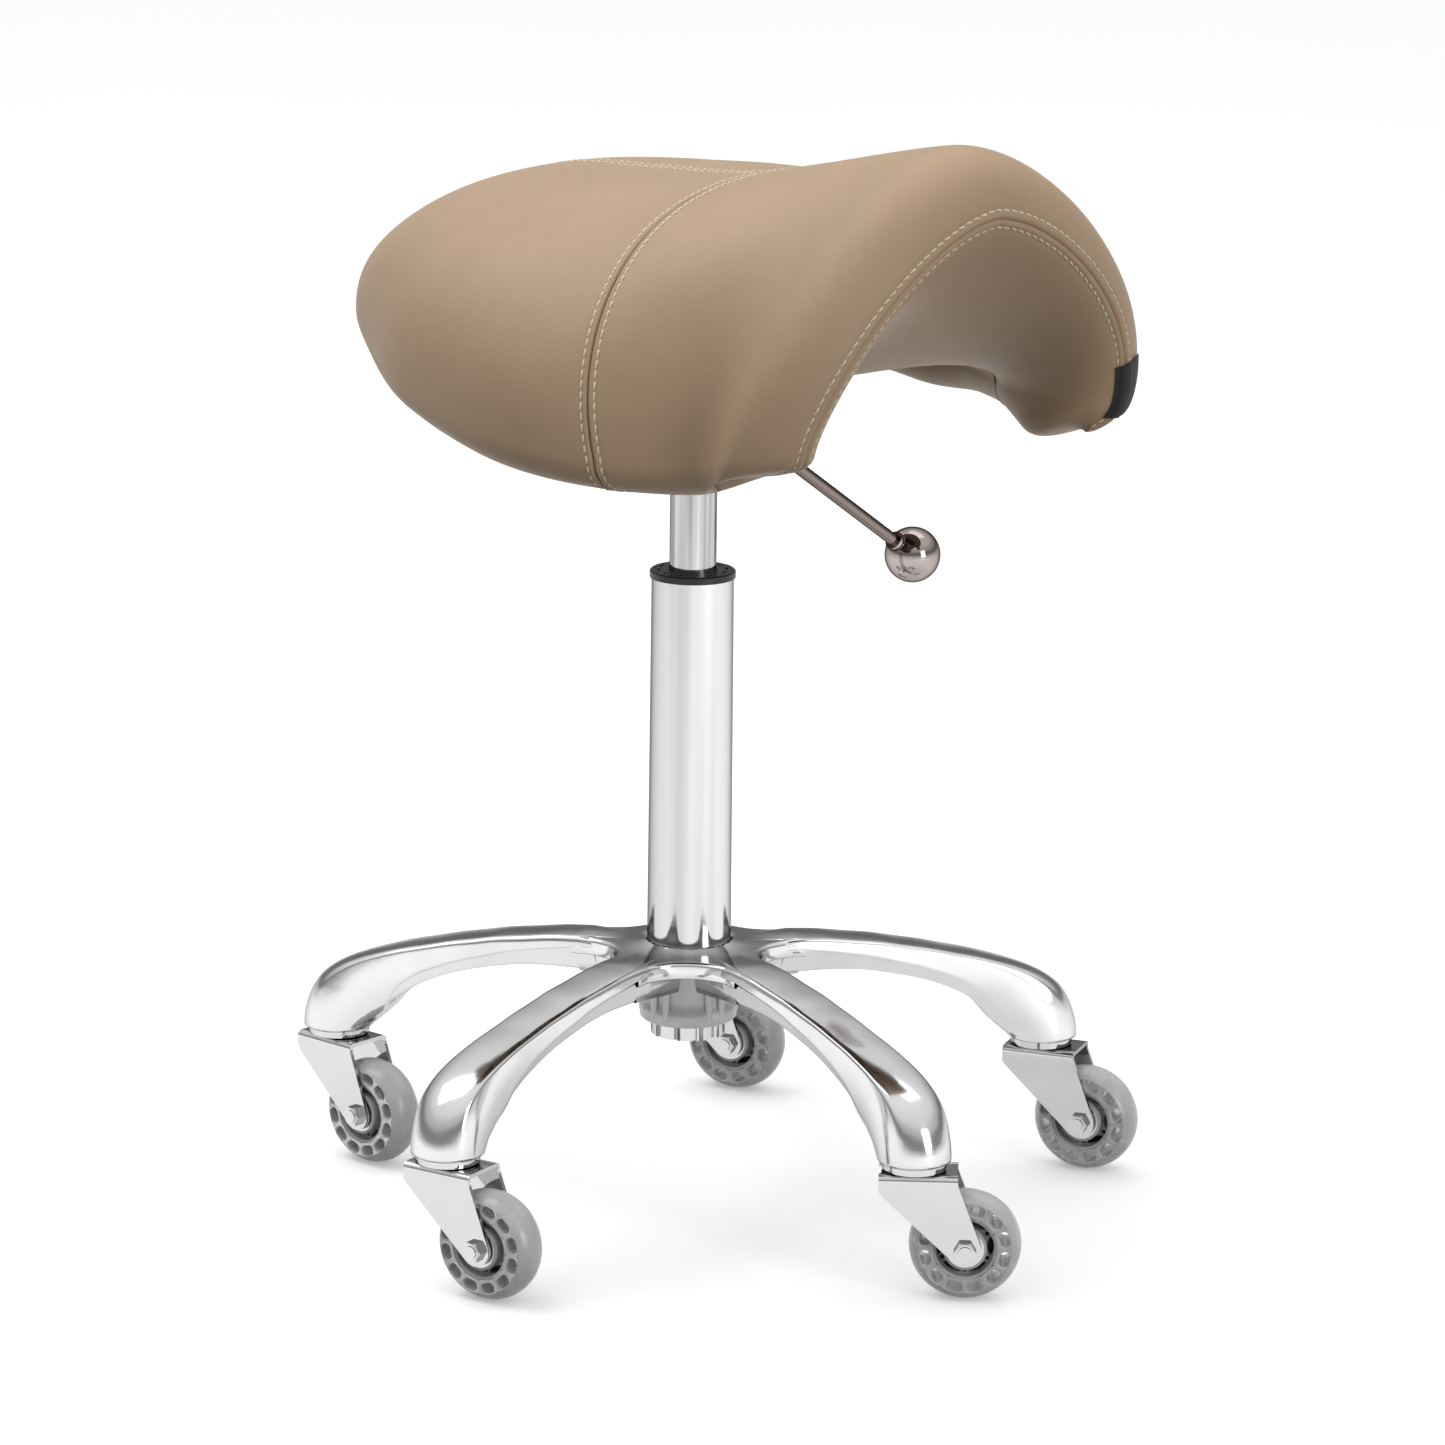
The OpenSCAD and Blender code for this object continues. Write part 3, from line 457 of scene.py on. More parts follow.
def rear_chart(quarter, pitch):
    """One rear panel: rows run from the cross seam back to the rear tip."""
    u = steps(300, pitch)
    runs = steps(290, pitch), 1 + steps(85, pitch, False)[1:], np.linspace(2, HEM_K, 6)[1:]
    ks = quarter * np.concatenate(runs)
    start = cross_seam(ks)[None, :]
    bow = (1 - np.cos(np.pi / 2 * (1 - u)))[:, None]
    run = np.maximum(1 - u, 0)[:, None]
    share = np.where(run > 0.6, run, 0.6 * (bow / (1 - np.cos(0.3 * np.pi))))
    share = share / share[0]
    tip = -REAR + 0.004
    return saddle(tip + (start - tip) * share, ks[None, :])


def both_sides(length, pitch):
    """Values of k from one flap's bottom over the crown to the other's; length is from crown to edge."""
    top = np.linspace(0, 1, int(length / pitch))
    under = 1 + np.linspace(0, BOTTOM_K - 1, int(42 / pitch) + 2)
    half = np.concatenate([top, under[1:]])
    return np.concatenate([-half[:0:-1], half])


def front_chart(pitch):
    """The front panel: rows run from the cross seam to the front seam."""
    ks = both_sides(290, pitch)
    flat = steps(140, pitch)
    arc = np.pi / 2 * steps(52, pitch * 0.8, False, True)
    start = cross_seam(ks)[None, :]
    bend = FRONT - FRONT_ROUND
    rows = [start + (bend - start) * t for t in flat]
    rows += [bend + FRONT_ROUND * np.sin(t) + 0 * start for t in arc[1:]]
    return saddle(np.concatenate(rows), ks[None, :]), ks


def nose_chart(pitch):
    """The panel under the front seam, which scoops back to the lip of the arch."""
    ks = both_sides(260, pitch)
    side, a = np.sign(ks), np.abs(ks)
    start = saddle(FRONT + 0 * ks, ks)
    lip_k = np.where(side < 0, -1, 1) * (3 - a)
    lip_l = LIP - (LIP - cross_seam(1.0)) * a / BOTTOM_K
    end = saddle(lip_l, lip_k)
    wall = saddle(lip_l + 6, lip_k) - saddle(lip_l - 6, lip_k)
    wall = -wall / np.linalg.norm(wall, axis=-1, keepdims=True)
    across = np.clip(a, 0, 1)[:, None]
    down = np.array([-0.25, 0, -1.0])[None, :]
    inward = np.stack([-0.15 + 0 * ks, -side, 0 * ks], -1)
    leave = down * (1 - across**1.5) + inward * across**1.5
    leave[a > 1] = np.stack([-0.15 + 0 * ks, -side, 0.25 * (a - 1)], -1)[a > 1]
    leave = leave / np.linalg.norm(leave, axis=-1, keepdims=True)
    pull = 70 + 40 * across
    t = steps(150, pitch)[:, None, None]
    h00, h10 = 2 * t**3 - 3 * t**2 + 1, t**3 - 2 * t**2 + t
    h01, h11 = 3 * t**2 - 2 * t**3, t**3 - t**2
    sheet = h00 * start + h10 * (leave * pull) + h01 * end + h11 * (wall * pull)
    # Towards the hem the panel follows the inside of the flap, so that it closes on the front panel
    inside = saddle(FRONT + (lip_l - FRONT)[None, :] * t[..., 0], ks - 2 * side * (a - BOTTOM_K))
    hem = ease((a - 1.02) / (BOTTOM_K - 1.02))[None, :, None]
    early = np.clip(t * 5, 0, 1) * hem
    sheet = sheet * (1 - early) + inside * early
    turn = np.radians(np.linspace(0, 150, 8))[1:, None, None]
    up = np.array([0, 0, 1.0])
    roll = end + 3.0 * (1 - hem) * (np.sin(turn) * wall + (1 - np.cos(turn)) * up)
    return np.concatenate([sheet, roll]), ks


# ---------------------------------------------------------------- meshes from grids


def grid_normals(grid, flip=False):
    """Unit normals of a grid of points."""
    du = np.gradient(grid, axis=0)
    dv = np.gradient(grid, axis=1)
    n = np.cross(du, dv)
    n = n / np.maximum(np.linalg.norm(n, axis=-1, keepdims=True), 1e-9)
    return -n if flip else n


def grid_faces(rows, cols, closed=False, flip=False, start=0):
    faces = []
    for i in range(rows - 1):
        for j in range(cols if closed else cols - 1):
            a, b = start + i * cols + j, start + i * cols + (j + 1) % cols
            quad = (a, b, b + cols, a + cols)
            faces.append(quad[::-1] if flip else quad)
    return faces


class Patches:
    """Points and faces of a mesh that is put together from grids."""

    def __init__(self):
        self.points, self.faces = [], []

    def add(self, grid, closed=False, flip=False):
        grid = np.asarray(grid, float)
        self.faces += grid_faces(*grid.shape[:2], closed, flip, len(self.points))
        self.points += grid.reshape(-1, 3).tolist()


def turned(profile, count):
    """Grid of a turned shape from (radius, height) points; its axis is z."""
    angles = np.linspace(0, 2 * math.pi, count, endpoint=False)
    return np.array([[(r * math.sin(a), r * math.cos(a), z) for a in angles] for r, z in profile])


def new_piece(name, points, faces, material, body, slot, replaced=()):
    """A smooth-shaded mesh piece in metres, riding on a body."""
    mesh = bpy.data.meshes.new(name)
    mesh.from_pydata([tuple(p) for p in np.asarray(points).reshape(-1, 3)], [], faces)
    mesh.validate()
    mesh.polygons.foreach_set("use_smooth", [True] * len(mesh.polygons))
    mesh.materials.append(material)
    piece = bpy.data.objects.new(name, mesh)
    bpy.context.scene.collection.objects.link(piece)
    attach(piece, body)
    if replaced:
        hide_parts(*replaced)
    return piece


def weld(piece, gap=0.00002):
    """Joins the edges where grids meet and turns all faces outward."""
    bm = bmesh.new()
    bm.from_mesh(piece.data)
    bmesh.ops.remove_doubles(bm, verts=bm.verts, dist=gap)
    bmesh.ops.recalc_face_normals(bm, faces=bm.faces)
    bm.to_mesh(piece.data)
    bm.free()


def thicken(piece, thickness, offset=-1):
    """Gives a sheet its thickness in millimetres, inwards unless offset is 0."""
    shell = piece.modifiers.new("thickness", "SOLIDIFY")
    shell.thickness = thickness * MM
    shell.offset = offset
    return shell


def soften(piece, width):
    """Rounds off the sharp edges, with the width in millimetres."""
    edge = piece.modifiers.new("edge", "BEVEL")
    edge.width = width * MM
    edge.segments = 2
    edge.limit_method = "ANGLE"
    return edge


def joint(name):
    return next(j for j in frame["joints"] if j["name"] == name)


def seat_yaw():
    """The lever hinges about the seat's own length."""
    axis = joint("lever_lift")["axis"]
    return math.atan2(axis[1], axis[0])


def to_world(points):
    """From the seat's own millimetres to metres in the frame."""
    c, s = math.cos(seat_yaw()), math.sin(seat_yaw())
    p = np.asarray(points) * MM
    return np.stack([p[..., 0] * c - p[..., 1] * s, p[..., 0] * s + p[..., 1] * c, p[..., 2]], -1)


def run_length(grid, axis=0):
    """Distance of each point from the first row (or column), along the grid."""
    step = np.linalg.norm(np.diff(grid, axis=axis), axis=-1)
    total = np.cumsum(step, axis=axis)
    pad = [(1, 0), (0, 0)] if axis == 0 else [(0, 0), (1, 0)]
    return np.pad(total, pad)


def seam_relief(distance, stitch_off):
    """Height of the leather beside a seam: rolled down at the seam, plump, pinched at the stitches."""
    roll = -ROLL[0] * np.clip(1 - distance / ROLL[1], 0, 1) ** 2
    plump = PLUMP[0] * np.exp(-(((distance - stitch_off * 0.55) / PLUMP[1]) ** 2))
    pinch = -PINCH[0] * np.exp(-(((distance - stitch_off) / PINCH[1]) ** 2))
    return roll + plump + pinch


def line_at(grid, distance, off):
    """The curve over the grid at a distance from its seam."""
    out = []
    for j in range(grid.shape[1]):
        d = distance[:, j]
        i = int(np.clip(np.searchsorted(d, off) - 1, 0, len(d) - 2))
        t = (off - d[i]) / max(d[i + 1] - d[i], 1e-6)
        out.append(grid[i, j] * (1 - t) + grid[i + 1, j] * t)
    return np.array(out)


def stitch_row(line, normals):
    """Stitches along a line on the leather: short arched threads, each end going into the leather."""
    step = np.linalg.norm(np.diff(line, axis=0), axis=1)
    along = np.concatenate([[0], np.cumsum(step)])
    verts, faces = [], []
    sides, rings = 6, 6
    for s in np.arange(1.0, along[-1] - STITCH, PITCH):
        base = len(verts)
        for r in range(rings):
            t = r / (rings - 1)
            at = s + STITCH * t
            p = np.array([np.interp(at, along, line[:, c]) for c in range(3)])
            q = np.array([np.interp(at + 0.3, along, line[:, c]) for c in range(3)])
            n = np.array([np.interp(at, along, normals[:, c]) for c in range(3)])
            n = n / np.linalg.norm(n)
            tangent = (q - p) / max(np.linalg.norm(q - p), 1e-9)
            sideways = np.cross(tangent, n)
            lift = 0.62 * math.sin(math.pi * t) ** 0.6 - 0.25
            slant = 0.45 * (t - 0.5)
            radius = THREAD_R * (0.75 + 0.25 * math.sin(math.pi * t))
            for m in range(sides):
                a = 2 * math.pi * m / sides
                up, across = lift + radius * math.sin(a), slant + radius * 1.25 * math.cos(a)
                verts.append(p + n * up + sideways * across)
        faces += grid_faces(rings, sides, True, False, base)
        faces.append(tuple(base + m for m in range(sides)))
        faces.append(tuple(base + (rings - 1) * sides + m for m in reversed(range(sides))))
    return verts, faces


def stitches(name, rows):
    """One piece for all the stitches of a seam."""
    verts, faces = [], []
    for line, normals in rows:
        v, f = stitch_row(line, normals)
        faces += [tuple(i + len(verts) for i in face) for face in f]
        verts += v
    new_piece(name, to_world(np.array(verts)), faces, MATERIALS["thread"], "seat", "taupe_leather")


def ripple(grid):
    """Faint unevenness of hand-pulled leather, in millimetres."""
    x, y, z = grid[..., 0], grid[..., 1], grid[..., 2]
    soft = np.sin(x / 31 + 1.7 * np.sin(y / 47)) * np.sin(y / 37 + z / 53 + 0.8)
    fine = np.sin(x / 13 + y / 19) * np.sin(z / 11 - x / 23 + 1.1)
    return 0.22 * soft + 0.06 * fine


def leather_panel(name, grid, relief, flip=False, also=()):
    """One panel with its seams, unevenness and swell. Gives its points, and its normals before those."""
    normals = grid_normals(grid, flip)
    relief = relief + ripple(grid) + puff(grid, normals, flip)
    grid = grid + normals * relief[..., None]
    faces = grid_faces(*grid.shape[:2], False, not flip)
    material = MATERIALS["taupe_leather"]
    piece = new_piece(name, to_world(grid), faces, material, "seat", "taupe_leather", [name, *also])
    thicken(piece, LEATHER)
    return grid, normals


def seam_line(grid, normals, distance, off):
    """Where a row of stitches runs beside a seam, and the leather's normals there."""
    return line_at(grid, distance, off), line_at(normals, distance, off)


def make_seat():
    """Leather panels, their seams, the tag and the stitches."""
    cross_lines, centre_lines = [], []
    for side, name in ((1, "cover_rear_left"), (-1, "cover_rear_right")):
        grid = rear_chart(side, GRID_PITCH)
        from_cross, from_centre = run_length(grid, 0), run_length(grid, 1)
        relief = seam_relief(from_cross, STITCH_OFF_CROSS)
        relief = relief + seam_relief(from_centre, STITCH_OFF_CROSS) * (from_cross > 2.0)
        grid, normals = leather_panel(name, grid, relief, side > 0)
        cross_lines.append(seam_line(grid, normals, from_cross, STITCH_OFF_CROSS))
        turned = grid.transpose(1, 0, 2), normals.transpose(1, 0, 2)
        line, facing = seam_line(*turned, from_centre.T, STITCH_OFF_CROSS)
        centre_lines.append((line[12:-6], facing[12:-6]))
    grid, front_ks = front_chart(GRID_PITCH)
    from_cross = run_length(grid, 0)
    to_front = from_cross[-1:, :] - from_cross
    relief = seam_relief(from_cross, STITCH_OFF_CROSS) + seam_relief(to_front, STITCH_OFF_FRONT)
    grid, normals = leather_panel("cover_front", grid, relief)
    cross_lines.append(seam_line(grid, normals, from_cross, STITCH_OFF_CROSS))
    front = grid[::-1], normals[::-1], to_front[::-1]
    grid, nose_ks = nose_chart(GRID_PITCH)
    from_front = run_length(grid, 0)
    relief = seam_relief(from_front, STITCH_OFF_FRONT)
    grid, normals = leather_panel("cover_nose", grid, relief, also=["seat_foam"])
    nose = grid, normals, from_front
    front_lines = [seam_line(*panel, STITCH_OFF_FRONT) for panel in (front, nose)]
    make_tag((front, front_ks), (nose, nose_ks))
    stitches("stitches_cross", cross_lines)
    stitches("stitches_centre", centre_lines)
    stitches("stitches_front", front_lines)


def along_grid(grid, at_rows, at_cols):
    """Values of a grid at fractional rows and columns."""
    i = np.clip(at_rows.astype(int), 0, grid.shape[0] - 2)
    j = np.clip(at_cols.astype(int), 0, grid.shape[1] - 2)
    u, v = (at_rows - i)[:, None], (at_cols - j)[None, :]
    a, b = grid[np.ix_(i, j)], grid[np.ix_(i, j + 1)]
    c, d = grid[np.ix_(i + 1, j)], grid[np.ix_(i + 1, j + 1)]
    return (a * (1 - v) + b * v) * (1 - u) + (c * (1 - v) + d * v) * u


def puff(grid, normals, flip):
    """How far the foam swells a panel between its seams: cloth under pressure, on a coarse copy."""
    picks = []
    for axis, count in enumerate(SWELL_GRID):
        length = run_length(grid, axis).mean(axis=1 - axis)
        wanted = np.linspace(0, length[-1], count)
        picks.append(np.unique(np.abs(length[None, :] - wanted[:, None]).argmin(axis=1)))
    rows, cols = picks
    coarse = grid[np.ix_(rows, cols)]
    mesh = bpy.data.meshes.new("swell")
    faces = grid_faces(len(rows), len(cols), False, not flip)
    mesh.from_pydata((coarse.reshape(-1, 3) * MM).tolist(), [], faces)
    sheet = bpy.data.objects.new("swell", mesh)
    bpy.context.scene.collection.objects.link(sheet)
    edge = np.ones((len(rows), len(cols)), bool)
    edge[1:-1, 1:-1] = False
    sheet.vertex_groups.new(name="seams").add([int(i) for i in np.flatnonzero(edge)], 1.0, "REPLACE")
    cloth = sheet.modifiers.new("cloth", "CLOTH")
    cloth.settings.vertex_group_mass = "seams"
    cloth.settings.use_pressure = True
    cloth.settings.uniform_pressure_force = PRESSURE
    cloth.settings.effector_weights.gravity = 0
    cloth.point_cache.frame_end = LAST_FRAME
    scene = bpy.context.scene
    for frame_number in range(1, LAST_FRAME + 1):
        scene.frame_set(frame_number)
    shaped = sheet.evaluated_get(bpy.context.evaluated_depsgraph_get()).to_mesh()
    moved = np.empty(len(shaped.vertices) * 3)
    shaped.vertices.foreach_get("co", moved)
    bpy.data.objects.remove(sheet)
    scene.frame_set(1)
    swell = ((moved.reshape(coarse.shape) / MM - coarse) * normals[np.ix_(rows, cols)]).sum(-1)
    swell = SWELL * np.tanh(np.maximum(swell, 0) / SWELL)
    return along_grid(swell, np.interp(np.arange(grid.shape[0]), rows, np.arange(len(rows))),
                      np.interp(np.arange(grid.shape[1]), cols, np.arange(len(cols))))


def make_tag(front, nose):
    """Blank woven tag folded over the front seam on the far flap."""
    over, under = np.linspace(TAG_WIDE, TAG_FOLD, 10), np.linspace(TAG_FOLD, TAG_OVER, 5)
    columns = []
    for (panel, ks), offs in ((front, over), (nose, under)):
        for off in offs:
            at, out = seam_line(*panel, off)
            columns.append((at, out, ks))
    grid = np.array([[[np.interp(k, ks, at[:, c]) + TAG_PROUD * np.interp(k, ks, out[:, c]) for c in range(3)]
                      for at, out, ks in columns] for k in np.linspace(*TAG_K, 26)])
    faces = grid_faces(*grid.shape[:2])
    piece = new_piece("tag", to_world(grid), faces, MATERIALS["tag"], "seat", "black_plastic", ["label_tag"])
    weld(piece)
    thicken(piece, 0.9, 0)
    soften(piece, 0.25)


# ---------------------------------------------------------------- star base
# One casting. Each arm is a loft whose sections start upright at the hub and lean over until the
# last one lies flat as the underside of the foot. Sizes in millimetres, arm along x.

ARM_OUTER = [(66, 158.5), (84, 157.2), (102, 154.7), (120, 152.2), (134, 149.3), (151, 145.9), (167, 142),
             (184, 138), (200, 133.4), (212, 129.4), (222, 125.2), (231, 120), (238.5, 113.5),
             (243.8, 105.5), (247.2, 97), (249, 89.5), (249.5, 82.5)]
ARM_INNER = [(63, 135.8), (80, 136.0), (97, 135.4), (110, 133.9), (122, 131.6), (136, 128.4), (148, 125),
             (162, 119.4), (172, 114.2), (180, 108.6), (186, 102.6), (190.5, 97.3), (194.5, 93.2),
             (198.5, 89.6), (202.5, 86.4), (205.3, 84), (206.5, 82.5)]
ARM_CREASE = [0.29, 0.38, 0.44, 0.50, 0.56, 0.61, 0.66, 0.70, 0.75, 0.80, 0.85, 0.90, 0.94, 0.97, 0.99,
              1.0, 1.0]
ARM_HALF = [15.6, 15.2, 15.0, 15.0, 15.0, 15.1, 15.3, 15.8, 16.6, 17.4, 18.2, 19.1, 20, 20.7, 21.2, 21.5,
            21.5]
ARM_FOOT = [0, 0, 0, 0, 0, 0, 0.02, 0.06, 0.14, 0.24, 0.36, 0.5, 0.64, 0.78, 0.9, 0.97, 1.0]
FIRST_ARM, ARM_STEP = -126, 360 / ARMS
ARM_CORNER, LOW_HALF = 2.6, 9.5
CROWN_POINTS = 9
HUB_R, HUB_TOP = 26.2, 160.0
DECK_Z, FLARE, DECK_UNDER = 157.4, 6.5, 152.5
WEB_CENTRE, WEB_ARC = 77.6, 30.6
BEAD_R, BEAD_DEPTH = 2.6, 9.2
FOOT_CENTRE = (228.0, 0.0, 82.5)


def arm_angle(k):
    """Direction of arm k; a half turns to the middle between two arms."""
    return math.radians(FIRST_ARM + ARM_STEP * k)


def spline(values, count):
    """Smooth curve through the values, sampled evenly by index."""
    v = np.asarray(values, float)
    if v.ndim == 1:
        v = v[:, None]
    t = np.linspace(0, len(v) - 1, count)
    i = np.clip(t.astype(int), 0, len(v) - 2)
    f = (t - i)[:, None]
    ext = np.concatenate([2 * v[:1] - v[1:2], v, 2 * v[-1:] - v[-2:-1]])
    p0, p1, p2, p3 = ext[i], ext[i + 1], ext[i + 2], ext[i + 3]
    square, cube = 2 * p0 - 5 * p1 + 4 * p2 - p3, 3 * p1 - p0 - 3 * p2 + p3
    out = 0.5 * (2 * p1 + (p2 - p0) * f + square * f**2 + cube * f**3)
    return out[:, 0] if np.ndim(values[0]) == 0 else out


def arc2(centre, radius, a0, a1, count):
    """Points on an arc in a plane, angles in degrees."""
    a = np.radians(np.linspace(a0, a1, count))
    return np.stack([centre[0] + radius * np.cos(a), centre[1] + radius * np.sin(a)], -1)


def section_half(length, half, crease, foot):
    """Half of an arm's section: (depth from the outer face, half width), crown to lower lip."""
    corner, dome = ARM_CORNER, 0.9
    crown = [(dome * (y / half) ** 2, y) for y in np.linspace(0, half - corner, CROWN_POINTS)]
    edge = arc2((dome + corner, half - corner), corner, 180, 90, 6)[1:]
    end = max(crease * length, corner + 2.5)
    low = LOW_HALF + (half - 1.4 - LOW_HALF) * crease
    face = [(d, half + 0.5 * (d - corner) / max(end - corner, 1))
            for d in np.linspace(corner + 1.2, end - 0.5, 8)]
    fold = [(end, half + 0.1), (end + 0.4, half - 0.5)]
    under = [(end + 0.4 + (length - end - 1.4) * t, half - 0.5 + (low - half + 0.5) * t)
             for t in np.linspace(0.15, 1, 8)]
    plain = np.array(crown + [tuple(p) for p in edge] + face + fold + under)
    share = np.linalg.norm(np.diff(plain, axis=0), axis=1)
    a = math.pi * np.concatenate([[0], np.cumsum(share)]) / share.sum()
    ring = np.stack([length / 2 * (1 - np.cos(a)), half * np.sin(a)], -1)
    return plain * (1 - foot) + ring * foot


def arm_rings(count=64):
    """Half sections of an arm from the hub to the foot."""
    outer, inner = spline(ARM_OUTER, count), spline(ARM_INNER, count)
    crease, half, foot = spline(ARM_CREASE, count), spline(ARM_HALF, count), spline(ARM_FOOT, count)
    rings = []
    for i in range(count):
        o, n = outer[i], inner[i]
        length = np.linalg.norm(n - o)
        way = (n - o) / length
        section = section_half(length, half[i], min(crease[i], 1), np.clip(foot[i], 0, 1))
        rings.append([(o[0] + way[0] * d, y, o[1] + way[1] * d) for d, y in section])
    return np.array(rings)


def deck_height(x, y):
    """Top of the hub: flat, with a small flare up to the column."""
    return DECK_Z + (HUB_TOP - DECK_Z) * np.exp(-((np.hypot(x, y) - HUB_R) / FLARE))


def half_arm_mesh():
    """Points (mm) and faces of half an arm with its half sector of the hub."""
    rings = arm_rings()
    count = len(rings)
    half_arm = Patches()
    # Edge of the hub's half sector, along the web's arc to the arm
    first = rings[0]
    mid = math.radians(ARM_STEP / 2)
    centre = WEB_CENTRE * np.array([math.cos(mid), math.sin(mid)])
    arc = arc2(centre, WEB_ARC, 180 + ARM_STEP / 2, 270, 22)
    arc[-1] = (ARM_OUTER[0][0] - 1.5, first[CROWN_POINTS + 4][1])
    # Round bead down from the deck's edge, and the short wall and lip under it, as (out, down)
    wall = ((0.3, 0.6 * BEAD_DEPTH), (0.3, BEAD_DEPTH), (-0.4, BEAD_DEPTH + 0.9), (-4.0, BEAD_DEPTH + 1.0))
    edge, beads = [], []
    for p in arc:
        outward = (centre - p) / np.linalg.norm(centre - p)
        q = p - outward * BEAD_R
        z = deck_height(*q)
        bead = []
        for a in np.radians(np.linspace(0, 90, 6)):
            at = q + outward * BEAD_R * math.sin(a)
            bead.append((at[0], at[1], z - BEAD_R * (1 - math.cos(a))))
        for out, down in wall:
            bead.append((p[0] + outward[0] * out, p[1] + outward[1] * out, z - down))
        edge.append(np.array([q[0], q[1], z]))
        beads.append(bead)
    tucked = np.array(beads[-1]) + [5.0, -0.4, -0.2]
    half_arm.add(beads + [tucked])
    # Deck from the column out to the bead and to the arm's first section
    far = edge + [np.array(p) for p in first[CROWN_POINTS - 1::-1]]
    deck = []
    for i, p in enumerate(far):
        az = mid * (1 - i / (len(far) - 1))
        near = HUB_R * np.array([math.cos(az), math.sin(az)])
        line = []
        for t in np.linspace(0, 1, 16):
            u = t**1.4
            xy = near * (1 - u) + p[:2] * u
            z = deck_height(*xy)
            ahead = ease((u - 0.3) / 0.7)
            z = z * (1 - ahead) + (z + (p[2] - deck_height(*p[:2]))) * ahead
            line.append((xy[0], xy[1], z))
        deck.append(line)
    half_arm.add(deck, flip=True)
    # Arm: crown to lower lip, starting a little inside the hub
    half_arm.add(np.concatenate([rings[:1] - [9.0, 0, 0.5], rings]))
    # Lower lip, inner wall and ceiling of the hollow underside
    inner = []
    for i in range(count):
        lip, up = rings[i][-1], rings[i][0]
        back = up - lip
        back[1] = 0
        length = np.linalg.norm(back)
        way = back / max(length, 1e-6)
        t = np.clip((i - count * 0.62) / (count * 0.2), 0, 1)
        deep = min(length * 0.6, 14) * (1 - ease(t)) + 0.05
        half = max(lip[1] - 3.4, 0.1)
        middle = lip * [1, 0, 1]
        inner.append([lip, lip - np.array([0, 1.6, 0]) * (1 - t), middle + [0, half, 0],
                      middle + [0, half * 0.92, 0] + way * deep, middle + way * deep])
    half_arm.add(inner)
    # Foot's flat underside
    half_arm.add([[p, FOOT_CENTRE] for p in rings[-1]])
    # Inner walls that run in under the deck to the boss
    web = []
    near, far = 22, ARM_OUTER[0][0]
    low, top = LOW_HALF + 1.6, 14.2
    for r in np.linspace(near, far, 14):
        z = 133.5 + 2.3 * ease((r - near) / (far - near))
        web.append([(r, low - 3, z), (r, low, z), (r, (low + top) / 2, (z + 152) / 2), (r, top, DECK_UNDER)])
    half_arm.add(web, flip=True)
    half_arm.add([[w[0], (w[0][0], 0, w[0][2] + 0.01)] for w in web], flip=True)
    return np.array(half_arm.points), half_arm.faces


def make_star_base():
    """The half arm, mirrored and repeated five times."""
    verts, faces = half_arm_mesh()
    all_v, all_f = [], []
    for k in range(ARMS):
        c, s = math.cos(arm_angle(k)), math.sin(arm_angle(k))
        for mirror in (1, -1):
            x, y, z = verts[:, 0], verts[:, 1] * mirror, verts[:, 2]
            start = len(all_v)
            all_v += np.stack([x * c - y * s, x * s + y * c, z], -1).tolist()
            all_f += [tuple(start + i for i in (f if mirror > 0 else f[::-1])) for f in faces]
    finish = MATERIALS["polished_aluminium"], "base", "polished_aluminium"
    piece = new_piece("star_base", np.array(all_v) * MM, all_f, *finish, ["star_base"])
    weld(piece, 0.00004)


def make_boss():
    """The rough hub under the deck, with ribs and a flange for the ring nut."""
    profile = [(19.2, 111), (24, 110.6), (27.6, 111.0), (29.2, 112.6), (29.4, 118), (28.8, 120.2),
               (27.6, 122), (27.2, 126), (27.0, 140), (27.2, 147), (29, 150.5), (34, 151.5)]
    finish = MATERIALS["cast_aluminium"], "base", "polished_aluminium"
    grid = turned(profile, 128)[..., [1, 0, 2]]
    new_piece("hub_boss", grid * MM, grid_faces(*grid.shape[:2], True), *finish)
    rib = [(-2.6, 25), (-2.3, 28.6), (-1.4, 29.8), (0, 30.2), (1.4, 29.8), (2.3, 28.6), (2.6, 25)]
    heights = np.linspace(114, 152, 6)
    ribs = Patches()
    for k in range(ARMS):
        for side in (-1, 1):
            a = arm_angle(k + 0.5) + side * math.radians(27)
            out, wide = np.array([math.cos(a), math.sin(a), 0]), np.array([-math.sin(a), math.cos(a), 0])
            ribs.add([[wide * w + out * r + [0, 0, z] for w, r in rib] for z in heights], flip=True)
    new_piece("hub_ribs", np.array(ribs.points) * MM, ribs.faces, *finish)


# ---------------------------------------------------------------- casters
# Local frame of a caster: x along the trail from the swivel, y across, z up, in millimetres.

WHEEL_R, CORE_R, FLAT_R, TREAD_R = 32.5, 18.5, 27.0, 16.0
HALF_WHEEL = 12.0
HOLES, HOLE_AT, HOLE_LONG, HOLE_R = 12, 23.5, 3.2, 3.1
HOLE_EDGE = [(1.0, 0.0), (1.0, 5.0), (1.0, 11.2), (1.04, 11.65), (1.12, 11.92), (1.2, HALF_WHEEL)]
CORE_WEB = [(11.6, -2.2), (16.8, -2.2), (17.0, 0), (16.8, 2.2), (11.6, 2.2)]
FORK_TOP, FORK_HALF, SHEET = 76.5, 16.0, 2.4
FORK_FRONT, FORK_BACK = (-20.0, 66), (25.5, 72)
FORK_TIP, FORK_BEND = 9.5, 3.4


